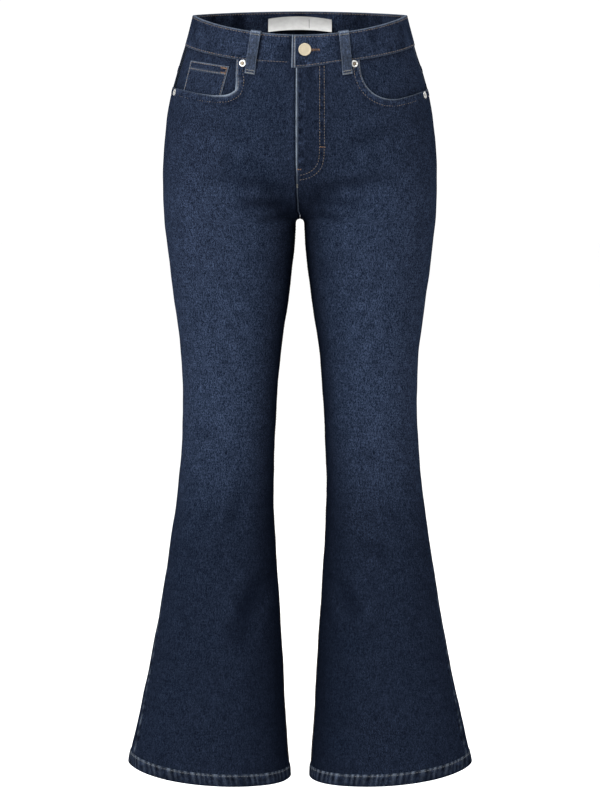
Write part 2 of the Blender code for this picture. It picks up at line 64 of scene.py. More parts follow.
# The body of the garment: half widths, half gap between the legs, front and back depth,
# and how far the side seam turns to the front, in degrees, at each height
SECTION = by_column(("height", "outer", "inner", "front", "back", "turn"), (
    (0.020, 0.1415, 0.0055, -0.0890, 0.0880, 0),
    (0.000, 0.1445, 0.0055, -0.0920, 0.0910, 0),
    (-0.040, 0.1553, 0.0055, -0.0990, 0.1030, 0),
    (-0.080, 0.1678, 0.0055, -0.1060, 0.1160, 0),
    (-0.120, 0.1775, 0.0055, -0.1110, 0.1260, 0),
    (-0.160, 0.1829, 0.0055, -0.1130, 0.1310, 0),
    (-0.200, 0.1857, 0.0055, -0.1130, 0.1290, 0),
    (-0.240, 0.1860, 0.0055, -0.1110, 0.1200, 0),
    (-0.275, 0.1840, 0.0057, -0.1090, 0.1080, 0),
    (-0.320, 0.1790, 0.0090, -0.1060, 0.0940, 0),
    (-0.380, 0.1712, 0.0160, -0.1015, 0.0800, 0),
    (-0.450, 0.1622, 0.0261, -0.0940, 0.0660, 1),
    (-0.520, 0.1597, 0.0322, -0.0840, 0.0560, 3),
    (-0.580, 0.1620, 0.0350, -0.0740, 0.0520, 5),
    (-0.650, 0.1689, 0.0365, -0.0640, 0.0580, 7),
    (-0.720, 0.1795, 0.0337, -0.0580, 0.0660, 10),
    (-0.800, 0.1920, 0.0291, -0.0580, 0.0710, 13),
    (-0.880, 0.2070, 0.0240, -0.0620, 0.0740, 16),
    (-0.960, 0.2238, 0.0198, -0.0690, 0.0770, 19),
    (-1.030, 0.2400, 0.0146, -0.0770, 0.0800, 21),
    (-1.065, 0.2485, 0.0120, -0.0810, 0.0815, 22),
))
SQUARE = 0.035
INSEAM_TURN = 0.4

# Where the oval of the hips parts into two legs
CROTCH_HEIGHT = -0.2715
ARCH_RADIUS = 0.006
ARCH_REACH = 0.09
FRONT_CURVE_TOP = -0.165
BACK_CURVE_TOP = -0.150
PART_TOP = -0.155
PART_BOTTOM = -0.300
NEAR_SEAM = 0.16

# Waistband
FRONT_DIP = 0.023
BACK_RISE = 0.006
SIDE_RISE = 0.0028
BACK_EXTRA = 0.0018
BAND_HEIGHT = 0.0385
BAND_PROUD = 0.0006
BAND_THICK = 0.0028
BAND_OVERLAP = 0.010
BAND_UNDERLAP = 0.034
FINE_END = 0.010
SINK_START = 3.78
SINK_RUN = 0.14
LAP_DROOP = 0.0048
LAP_DROOP_RUN = 0.060

# Fly: the left front's edge lies a little past the middle
FLY_SHIFT = 0.0053
FLY_STRAIGHT_TO = -0.2665
FLY_TUCK = 0.0009
FLY_LEVEL = -0.120
FLY_FOOT = -0.203
# Pale ridges beside its sewing: pitch of their dashes, seed and distance from the edge
FLY_RIDGES = ((0.0120, 5.0, 0.0050), (0.0115, 8.0, 0.0270))

# Hem line, rising from the inseam to the outseam
HEM_INSEAM = -1.050
HEM_SLOPE = 0.0925
HEM_SLANT_TOP = -0.750
HEM_HEIGHT = 0.0172
HEM_SAG = 0.0054
HEM_PROUD = 0.0006
HEM_THICK = 0.0028
FOLD_RADIUS = 0.0016
FOLD_FALL = 0.0011

# Panel grids: columns over the waist and over the pocket mouth, and the rows
BACK_COLUMNS = 72
WAIST_COLUMNS = 24
MOUTH_COLUMNS = 60
FRONT_COLUMNS = WAIST_COLUMNS + MOUTH_COLUMNS
TOP_ROWS = 18
BACK_TOP_ROWS = 9
TOP_BOTTOM = -0.125
TOP_CROWDING = 1.4
EDGE_CROWDING = 0.6
CROWDING = 0.7
CROWD_BOTTOM = -0.240
YOKE_AT_CENTRE = -0.100
YOKE_AT_SIDE = -0.074
ROW_RUNS = ((-0.2715, 50), (-0.2785, 5), (-0.360, 25), (-1.034, 205))

# Edges of the two front pocket mouths, x and z from the waistband to the side seam
SCOOPS = {
    "left": (
        (0.0790, -0.0560), (0.0798, -0.0680), (0.0822, -0.0800), (0.0874, -0.0901), (0.0955, -0.0990),
        (0.1075, -0.1055), (0.1240, -0.1081), (0.1395, -0.1057), (0.1550, -0.1016), (0.1725, -0.0962),
    ),
    "right": (
        (0.0841, -0.0550), (0.0842, -0.0720), (0.0829, -0.0855), (0.0855, -0.0952), (0.0940, -0.1008),
        (0.1080, -0.1028), (0.1260, -0.1017), (0.1430, -0.0991), (0.1590, -0.0962), (0.1725, -0.0935),
    ),
}
MOUTH_GAPE = 0.0012
MOUTH_TURN = 0.0090
# How worn each mouth is: at its corner, where along it that is, and elsewhere; the corner's value also sets
# how dark the painted shadow below the corner is
MOUTH_WEAR_AND_SHADE = {1: (0.35, 0.24, 0.20), -1: (0.95, 0.21, 0.10)}
FACING_DEPTH = {"left": CLOTH + UNDER_GAP, "right": 2 * CLOTH + UNDER_GAP + LAYER_GAP}
FACING_BOTTOM = -0.122
FACING_TUCK = 0.012
FACING_LEVEL = -0.080

# Coin pocket on the right facing
COIN_SIDES = (0.0975, 0.1534)
COIN_HEAD = -0.0645
COIN_SLOPE = 0.131
COIN_LEAN = 0.125
COIN_FOOT = -0.114
# Its bar tacks: x from and to, past its inner side, how far below its mouth, and width
COIN_TACKS = (
    ((0.0012, 0.0102), (0.0030, 0.0030), 0.0016),
    ((0.0012, 0.0087), (0.0090, 0.0090), 0.0016),
    ((0.0016, 0.0016), (0.0020, 0.0105), 0.0020),
)

# Back patch pockets
POCKET_MIDDLE = 0.090
POCKET_TOP = -0.122
POCKET_WIDTH = 0.134
POCKET_HEIGHT = 0.118
POCKET_POINT = 0.020
POCKET_TAPER = 0.008
POCKET_LIFT = 0.0011

# Belt loops
LOOP_WIDTH = 0.0132
LOOP_THICK = 0.0014
LOOP_LEVEL = -0.020
LOOPS = by_row(("side", "rear", "x_top", "x_bottom"), (
    (1, False, 0.0568, 0.0625),
    (-1, False, 0.0574, 0.0662),
    (1, True, 0.0840, 0.0900),
    (-1, True, 0.0840, 0.0900),
    (1, True, 0.0000, 0.0000),
))
LOOP_PATH = (
    (-0.0008, -0.0010), (-0.0010, 0.0016), (0.0006, 0.0040), (0.0060, 0.0044), (0.0200, 0.0044),
    (0.0340, 0.0042), (0.0400, 0.0036), (0.0470, 0.0018), (0.0566, 0.0014),
)
REAR_LOOP_PATH = (
    (0.0024, 0.0020), (0.0030, 0.0034), (0.0046, 0.0042), (0.0090, 0.0044), (0.0200, 0.0044),
    (0.0340, 0.0042), (0.0400, 0.0036), (0.0470, 0.0018), (0.0566, 0.0014),
)

# Round pieces
BUTTON_PLACE = (0.0063, -0.0428)
RIVETS = by_row(("side", "x", "z"), (
    (-1, 0.0756, -0.0607),
    (-1, 0.1677, -0.1004),
    (1, 0.0719, -0.0613),
    (1, 0.1668, -0.1041),
))
LABEL_WIDTH = 0.088
LABEL_HEIGHT = 0.020
LABEL_DROP = 0.0070
LABEL_THICK = 0.001
LABEL_LINE_AT = 0.0127
LABEL_LINE_WIDTH = 0.00084
LABEL_LINE_LENGTH = 0.0132

# Profiles of the round pieces: radius and height above the cloth
BUTTON_PROFILE = (
    (0, 0), (0.0042, 0), (0.0042, 0.0011), (0.0074, 0.0012), (0.0081, 0.0016), (0.0084, 0.0021),
    (0.0083, 0.0025), (0.0079, 0.0028), (0.0075, 0.0028), (0.0071, 0.0027), (0.0040, 0.0029), (0, 0.0030),
)
RIVET_RING = (
    (0.0023, 0.0001), (0.0043, 0.0), (0.0046, 0.0003), (0.0045, 0.0009), (0.0041, 0.0012), (0.0035, 0.0013),
    (0.0028, 0.0010), (0.0024, 0.0005), (0.0023, 0.0001),
)
RIVET_PIN = (
    (0, 0), (0.0027, 0), (0.0026, 0.0003), (0.0018, 0.0004), (0.0014, 0.0009), (0.0008, 0.0011), (0, 0.0011),
)

# Sewing
STITCH_LENGTH = 0.0022
STITCH_GAP = 0.0017
STITCH_LIFT = 0.0002
STITCH_SAG = np.array(((-0.00022,), (0.00018,), (-0.00022,)))
THREAD_RADIUS = 0.00028
TACK_RADIUS = 0.00026
HEM_STITCH_DOWN = 0.0028
BAND_STITCH_DOWN = 0.0028
MOUTH_ROW = 0.0017
INSEAM_ROW = 0.0020
DOUBLE_ROW = (0.0018, 0.0078)
INSEAM_HEIGHTS = np.linspace(CROTCH_HEIGHT - 0.010, -1.026, 260)
TACK_PITCH = 0.0005
PANEL_TACK_PITCH = 0.00055
# Bar tacks of the fly: x and z from, x and z to, and width
FLY_TACKS = (
    (-0.0040, -0.1993, 0.0018, -0.1996, 0.0016),
    (0.0262, -0.1695, 0.0335, -0.1705, 0.0013),
)
# The two rows of the fly's curve, x towards the wearer's left
FLY_ROWS = (
    ((0.0259, -0.0640), (0.0259, -0.1000), (0.0259, -0.1400), (0.0259, -0.1700), (0.0253, -0.1820),
     (0.0225, -0.1930), (0.0157, -0.2010), (0.0065, -0.2060), (-0.0038, -0.2075)),
    ((0.0318, -0.0640), (0.0320, -0.1000), (0.0320, -0.1400), (0.0320, -0.1730), (0.0310, -0.1870),
     (0.0280, -0.1975), (0.0215, -0.2050), (0.0130, -0.2105), (0.0050, -0.2130), (-0.0038, -0.2138)),
)
BUTTON_DOWN = 0.0202
BUTTONHOLE = (0.0040, 0.0232)
KNOT = (-0.0048, -0.2216)
RANDOM = np.random.default_rng(7)

# Zip chain
TEETH_TOP = -0.0800
TEETH_MIDDLE = 0.0050
TOOTH_PITCH = 0.0016
TOOTH_COUNT = 60

# Denim colours and yarns, in millimetres
INDIGO_DARK = (0.0018, 0.0028, 0.0060)
INDIGO_LIGHT = (0.0640, 0.0920, 0.1670)
INDIGO_WORN = (0.235, 0.280, 0.345)
REVERSE_DARK = (0.050, 0.065, 0.095)
REVERSE_LIGHT = (0.200, 0.235, 0.290)
YARN_WIDTH = 0.45
TWILL_REPEAT = 1.35
WEFT_SHARE = 0.36
YARN_SOCKETS = (
    ("INPUT", "Vector", ("Cloth",)),
    ("INPUT", "Float", ("Wash and shade", "Wear", "Pucker", "Mottling")),
    ("INPUT", "Color", ("Dark", "Light", "Worn")),
    ("OUTPUT", "Color", ("Color",)),
    ("OUTPUT", "Float", ("Roughness", "Height")),
)
SHADER_INPUTS = {
    "colour": "Base Color", "roughness": "Roughness", "metallic": "Metallic",
    "specular": "Specular IOR Level", "sheen": "Sheen Weight",
}

# Studio
FLOOR_HEIGHT = -1.36
FLOOR_RADIUS = 14.0
WORLD_LIGHT = 1.06
LIGHTS = (
    ("key", (-2.6, -2.9, 1.5), (0, 0, -0.45), 1.4, 165),
    ("fill", (2.8, -2.4, 0.4), (0, 0, -0.5), 2.2, 8),
    ("top", (-0.2, -0.8, 2.6), (0, 0, -0.4), 1.6, 60),
    ("back", (1.2, 3.2, 1.4), (0, 0, -0.4), 2.0, 60),
)
CAMERA_PLACE = (0, -4.0, 0)
CAMERA_AIM = (0, 0, -0.521)
LENS = 132.3
SENSOR_WIDTH = 36

# Soft creases; x is the distance from the middle, and troughs have a negative depth
CREASES = by_row(("panel", "x_from", "z_from", "x_to", "z_to", "bow", "width", "depth"), (
    ("front_right", 0.012, -0.2330, 0.134, -0.2060, 0.004, 0.0090, -0.0026),
    ("front_right", 0.008, -0.2510, 0.085, -0.2450, 0.003, 0.0075, -0.0023),
    ("front_right", 0.034, -0.2085, 0.130, -0.1880, 0.003, 0.0090, -0.0020),
    ("front_right", 0.010, -0.2600, 0.060, -0.2700, -0.002, 0.0060, -0.0016),
    ("front_right", 0.060, -0.1620, 0.148, -0.1380, 0.004, 0.0110, -0.0007),
    ("front_left", 0.010, -0.2345, 0.128, -0.2080, 0.003, 0.0085, -0.0028),
    ("front_left", 0.010, -0.2460, 0.080, -0.2430, 0.002, 0.0070, -0.0020),
    ("front_left", 0.055, -0.1690, 0.135, -0.1510, 0.003, 0.0100, -0.0015),
    ("front_left", 0.022, -0.2550, 0.058, -0.2680, -0.002, 0.0060, -0.0016),
    ("front_left", 0.040, -0.2150, 0.120, -0.1900, 0.003, 0.0080, -0.0008),
    ("front_right", 0.068, -0.6120, 0.098, -0.7020, 0.004, 0.0100, -0.0014),
    ("front_right", 0.052, -0.7500, 0.086, -0.8580, 0.006, 0.0140, -0.0020),
    ("front_right", 0.105, -0.5700, 0.150, -0.5500, 0.003, 0.0110, -0.0011),
    ("front_left", 0.066, -0.5910, 0.114, -0.5950, 0.003, 0.0090, -0.0014),
    ("front_left", 0.074, -0.7140, 0.120, -0.7290, 0.004, 0.0110, -0.0012),
    ("front_left", 0.055, -0.7600, 0.078, -0.8280, 0.004, 0.0100, -0.0013),
    ("back_right", 0.020, -0.2620, 0.125, -0.2400, 0.006, 0.0120, -0.0036),
    ("back_right", 0.030, -0.3000, 0.125, -0.2900, 0.006, 0.0140, -0.0028),
    ("back_right", 0.012, -0.2300, 0.070, -0.2480, 0.003, 0.0080, -0.0018),
    ("back_right", 0.040, -0.3380, 0.110, -0.3300, 0.004, 0.0110, -0.0014),
    ("back_left", 0.018, -0.2580, 0.120, -0.2450, 0.006, 0.0120, -0.0034),
    ("back_left", 0.035, -0.3060, 0.130, -0.2900, 0.005, 0.0150, -0.0030),
    ("back_left", 0.014, -0.2250, 0.064, -0.2420, 0.003, 0.0080, -0.0016),
    ("back_left", 0.030, -0.3420, 0.098, -0.3300, 0.004, 0.0110, -0.0016),
    ("back_right", 0.050, -0.5500, 0.140, -0.5650, 0.005, 0.0170, -0.0034),
    ("back_right", 0.060, -0.6100, 0.140, -0.5950, 0.004, 0.0160, -0.0028),
    ("back_right", 0.050, -0.6480, 0.120, -0.6600, 0.004, 0.0120, -0.0016),
    ("back_left", 0.055, -0.5600, 0.145, -0.5500, 0.005, 0.0170, -0.0034),
    ("back_left", 0.050, -0.6000, 0.135, -0.6200, 0.004, 0.0160, -0.0028),
    ("back_left", 0.062, -0.6540, 0.140, -0.6500, 0.004, 0.0120, -0.0015),
))

# How light the cloth is down a leg: at its inner edge, in the middle and at its outer edge; the darker inner
# edge is partly the denim's own fading and partly painted shade between the legs
LEG_TONE_AND_SHADE = by_column(("height", "inner", "middle", "outer"), (
    (-0.030, 0.28, 0.30, 0.28), (-0.120, 0.28, 0.33, 0.29), (-0.200, 0.25, 0.38, 0.32),
    (-0.260, 0.08, 0.46, 0.38), (-0.340, 0.00, 0.49, 0.39), (-0.440, 0.00, 0.53, 0.41),
    (-0.520, 0.01, 0.54, 0.41), (-0.600, 0.02, 0.45, 0.34), (-0.680, 0.03, 0.27, 0.22),
    (-0.800, 0.05, 0.205, 0.18), (-0.940, 0.06, 0.195, 0.17), (-1.060, 0.07, 0.195, 0.17),
))
OUTSEAM_DASHES = 0.0150
INSEAM_DASHES = 0.0130
HEM_DASHES = 0.0088
# The lightest place across a leg, how much a crease's height changes the colour (darker troughs and paler
# shoulders: whisker fading and painted crease shade), and where and over what height the worn lower leg
# begins
PALEST_SHARE = 0.53
CREASE_FADING_AND_SHADE = 55
LOW_LEG = (-0.60, 0.16)

SHARP_ANGLE = math.radians(40)
HALVINGS = 30


def ease(t):
    t = np.clip(t, 0, 1)
    return t * t * (3 - 2 * t)


def bell(distance, reach):
    return np.exp(-(distance / reach) ** 2)


def rounding(edge, radius, depth):
    """How far a rolled edge falls away: depth at the edge itself, none a radius from it."""
    return depth * (1 - np.sqrt(1 - (1 - np.clip(edge / radius, 0, 1)) ** 2))


def felled(distance, swell):
    """Height beside a seam: a groove at the seam, and the swell of the cloth turned in."""
    groove = GROOVE_DEPTH * bell(distance, GROOVE_REACH)
    return swell * bell(distance - SWELL_PLACE, SWELL_REACH) - groove


def unit(vectors):
    return vectors / np.linalg.norm(vectors, axis=-1, keepdims=True)


def lengths_along(points):
    """Length along a path up to each of its points."""
    return np.concatenate([[0], np.cumsum(np.linalg.norm(np.diff(points, axis=0), axis=1))])


def smooth_curve(knots, values, at):
    """Values at places along a smooth curve through (knots, values)."""
    slopes = np.gradient(values, knots)
    at = np.clip(at, knots[0], knots[-1])
    low = np.clip(np.searchsorted(knots, at) - 1, 0, len(knots) - 2)
    span = knots[low + 1] - knots[low]
    t = (at - knots[low]) / span
    start = (1 + 2 * t) * values[low] + t * span * slopes[low]
    end = (3 - 2 * t) * values[low + 1] - (1 - t) * span * slopes[low + 1]
    return (1 - t) ** 2 * start + t * t * end


def smooth_path(points, at):
    """Points on a smooth curve through the given ones, at lengths along it."""
    along = lengths_along(points)
    return np.stack([smooth_curve(along, column, at) for column in points.T], -1)


def even_path(points, count):
    return smooth_path(points, np.linspace(0, lengths_along(points)[-1], count))


def size_at(name, z):
    """A column of the section table at height z."""
    return smooth_curve(SECTION["height"], SECTION[name], z)


def quarter_girth(z):
    """About a quarter of the way round the body: what turns a length there into u."""
    return size_at("outer", z) * np.pi / 2


def body_depth(z):
    """The middle of the body from front to back, and half its depth."""
    front, back = size_at("front", z), size_at("back", z)
    return (front + back) / 2, (back - front) / 2


def oval(angle, middle_x, half_width, middle_y, depth):
    """x and y on a slightly squared oval; angle 0 is the side, positive towards the back."""
    reach = 1 + SQUARE * np.sin(2 * angle) ** 2
    return middle_x + half_width * reach * np.cos(angle), middle_y + depth * reach * np.sin(angle)


def half_point(u, z, rear):
    """Point on the left half of the body, u from the centre or inseam (0) to the side seam (1)."""
    u, z = np.broadcast_arrays(np.asarray(u, float), np.asarray(z, float))
    way = 1 if rear else -1
    outer = size_at("outer", z)
    middle_y, depth = body_depth(z)
    inner = size_at("inner", z)
    turn = np.radians(size_at("turn", z))
    hip_x, hip_y = oval(way * (1 - u) * np.pi / 2, 0, outer, middle_y, depth)
    leg_angle = (way * np.pi + INSEAM_TURN * turn) * (1 - u) - turn * u
    leg_x, leg_y = oval(leg_angle, (outer + inner) / 2, (outer - inner) / 2, middle_y, depth)
    curve_top = BACK_CURVE_TOP if rear else FRONT_CURVE_TOP
    fall = np.clip((curve_top - z) / (curve_top - CROTCH_HEIGHT), 0, 1)
    curve = 1 - np.sqrt(1 - fall ** 2)
    spread = ease((PART_TOP - z) / (PART_TOP - PART_BOTTOM))
    near = bell(u, NEAR_SEAM)
    leg = near * curve + (1 - near) * spread
    below = np.clip((CROTCH_HEIGHT - z) / ARCH_RADIUS, 0, 1)
    arch = inner * (1 - np.sqrt(below * (2 - below))) * bell(u, ARCH_REACH)
    return np.stack([hip_x + leg * (leg_x - arch - hip_x), hip_y + leg * (leg_y - hip_y), z], -1)


def half_normal(u, z, rear):
    """Outward normal of the left half of the body."""
    step = 1e-3
    lowest = np.minimum(np.min(u), 0)
    before, after = np.maximum(u - step, lowest), np.minimum(u + step, 1)
    across = half_point(after, z, rear) - half_point(before, z, rear)
    down = half_point(u, z - step, rear) - half_point(u, z + step, rear)
    return unit(np.cross(across, down) * (1 if rear else -1))


# Lengths along the half section, measured once: a row for each height, from u = 0
GIRTH_HEIGHTS = np.linspace(-1.07, 0.02, 300)
GIRTH_STEPS = np.linspace(0, 1, 241)


def measured_girths(rear):
    u, z = np.meshgrid(GIRTH_STEPS, GIRTH_HEIGHTS)
    runs = np.linalg.norm(np.diff(half_point(u, z, rear), axis=1), axis=-1)
    return np.concatenate([np.zeros((len(GIRTH_HEIGHTS), 1)), np.cumsum(runs, axis=1)], axis=1)


GIRTHS = {rear: measured_girths(rear) for rear in (False, True)}


def girth_to(u, z, rear):
    """Length along the cloth from u = 0, at height z; it is negative before the middle."""
    table = GIRTHS[rear]
    row = np.clip((z - GIRTH_HEIGHTS[0]) / (GIRTH_HEIGHTS[1] - GIRTH_HEIGHTS[0]), 0, len(table) - 1.001)
    column = np.clip(u / GIRTH_STEPS[1], 0, len(GIRTH_STEPS) - 1.001)
    low, left = row.astype(int), column.astype(int)
    up, right = row - low, column - left
    lower = table[low, left] * (1 - right) + table[low, left + 1] * right
    upper = table[low + 1, left] * (1 - right) + table[low + 1, left + 1] * right
    before = np.minimum(u, 0) * table[low, 1] / GIRTH_STEPS[1]
    return lower * (1 - up) + upper * up + before


def u_where(measure, wanted, z):
    """u of points where a measure that grows with u comes to what is wanted."""
    wanted, z = np.broadcast_arrays(np.asarray(wanted, float), np.asarray(z, float))
    low, high = np.full(wanted.shape, -0.1), np.ones(wanted.shape)
    for _ in range(HALVINGS):
        middle = (low + high) / 2
        short = measure(middle, z) < wanted
        low, high = np.where(short, middle, low), np.where(short, high, middle)
    return (low + high) / 2


def u_at_girth(length, z, rear):
    """u of points a length along the cloth from u = 0."""
    return u_where(lambda u, z: girth_to(u, z, rear), length, z)


def u_at(x, z, rear=False):
    """u of points a distance x from the middle."""
    return u_where(lambda u, z: half_point(u, z, rear)[..., 0], x, z)


def inner_edge(side, rear, z):
    """u of a panel's edge at the centre seam and the inseam."""
    gap = SEAM_GAP / 2 / quarter_girth(z)
    if rear:
        return gap
    straight = ease((z - CROTCH_HEIGHT - ARCH_RADIUS) / (FLY_STRAIGHT_TO - CROTCH_HEIGHT))
    return gap - side * straight * FLY_SHIFT / quarter_girth(z)


def mouth_curve(side_name, count):
    """Evenly spaced (u, z) points along a pocket mouth, on a smooth curve."""
    girth = quarter_girth(TOP_BOTTOM)
    corners = np.array(SCOOPS[side_name])
    corners[:, 0] = u_at(corners[:, 0], corners[:, 1]) * girth
    corners[-1, 0] = (1 - SEAM_GAP) * girth
    return even_path(corners, count) / (girth, 1)


def on_cloth(u, z, rear=False):
    """(length across, height) of points, as on a flat pattern piece."""
    return np.stack([girth_to(u, z, rear), np.broadcast_to(z, np.shape(u))], -1)


MOUTHS = {name: mouth_curve(name, 240) for name in SCOOPS}
MOUTH_LINES = {name: on_cloth(curve[:, 0], curve[:, 1]) for name, curve in MOUTHS.items()}


def from_mouth(side_name, u, z):
    """(distance, share of the way along) from the edge of a pocket mouth."""
    flat = on_cloth(u, z)
    distance = np.full(len(u), 1.0)
    share = np.zeros(len(u))
    near = z > -0.16
    gaps = np.linalg.norm(flat[near][:, None] - MOUTH_LINES[side_name][None], axis=-1)
    distance[near] = gaps.min(axis=1)
    share[near] = gaps.argmin(axis=1) / (len(MOUTH_LINES[side_name]) - 1)
    return distance, share


def edge_lift(middle_share, rear):
    """How much taller than at the front the waistband stands; the share is 1 at the middle, 0 at a side."""
    return SIDE_RISE * (1 - middle_share) + np.where(rear, BACK_EXTRA, 0.0) * middle_share


def waist_level(middle_share, rear):
    """Height of the waist before the waistband's lift."""
    return middle_share * np.where(rear, BACK_RISE, -FRONT_DIP)


def waist_edge(u, rear):
    """Height of the waistband's top edge."""
    middle = np.cos(u * np.pi / 2) ** 2
    return waist_level(middle, rear) + edge_lift(middle, rear)


def band_seam(u, rear):
    """Height of the seam under the waistband."""
    return waist_level(np.cos(u * np.pi / 2) ** 2, rear) - BAND_HEIGHT


def hem_line(points_x, u, rear):
    """Height of the hem's foot, which sags a little at the front."""
    sag = HEM_SAG * np.sin(np.pi * np.clip(u, 0, 1) ** 1.3) ** 1.5
    return HEM_INSEAM + HEM_SLOPE * np.abs(points_x) - np.where(rear, 0, sag)


def dashes(along, pitch, seed):
    """Uneven light dashes along a seam, from 0 to 1."""
    place = along / pitch + 0.30 * np.sin(along * 61 + seed) + 0.22 * np.sin(along * 173 + 2 * seed)
    number = np.floor(place)
    strength = np.sin(number * 12.9898 + seed) * 43758.5
    return bell(place - number - 0.5, 0.24) * (0.35 + 0.65 * (strength - np.floor(strength)))


def yoke_seam(u):
    return YOKE_AT_CENTRE + (YOKE_AT_SIDE - YOKE_AT_CENTRE) * u


def creases(points, panel):
    """Height of the creases, with a low shoulder along both sides of each trough."""
    height = np.zeros(len(points))
    for row in CREASES:
        if row["panel"] != panel:
            continue
        start = np.array((row["x_from"], row["z_from"]))
        run = np.array((row["x_to"], row["z_to"])) - start
        length = np.hypot(*run)
        offset = np.abs(points[:, [0, 2]]) * (1, -1) - start
        along = offset @ run / length ** 2
        inside = np.clip(along, 0, 1)
        beside = (offset @ np.array((-run[1], run[0]))) / length - row["bow"] * 4 * inside * (1 - inside)
        beside /= row["width"]
        taper = np.sin(np.pi * inside) ** 0.7
        height += row["depth"] * taper * (bell(beside, 1) - 0.42 * bell(np.abs(beside) - 1.9, 0.85))
    return height


def ripples(points):
    """The slight unevenness of worn cloth."""
    x, z = points[:, 0] + points[:, 1] * 0.6, points[:, 2]
    broad = np.sin(x * 67 + z * 29 + 1.3) * np.sin(z * 46 - x * 20 + 0.4)
    fine = np.sin(x * 151 - z * 61 + 2.2) * np.sin(z * 118 + x * 44 + 1.1)
    return 0.00045 * broad + 0.00018 * fine


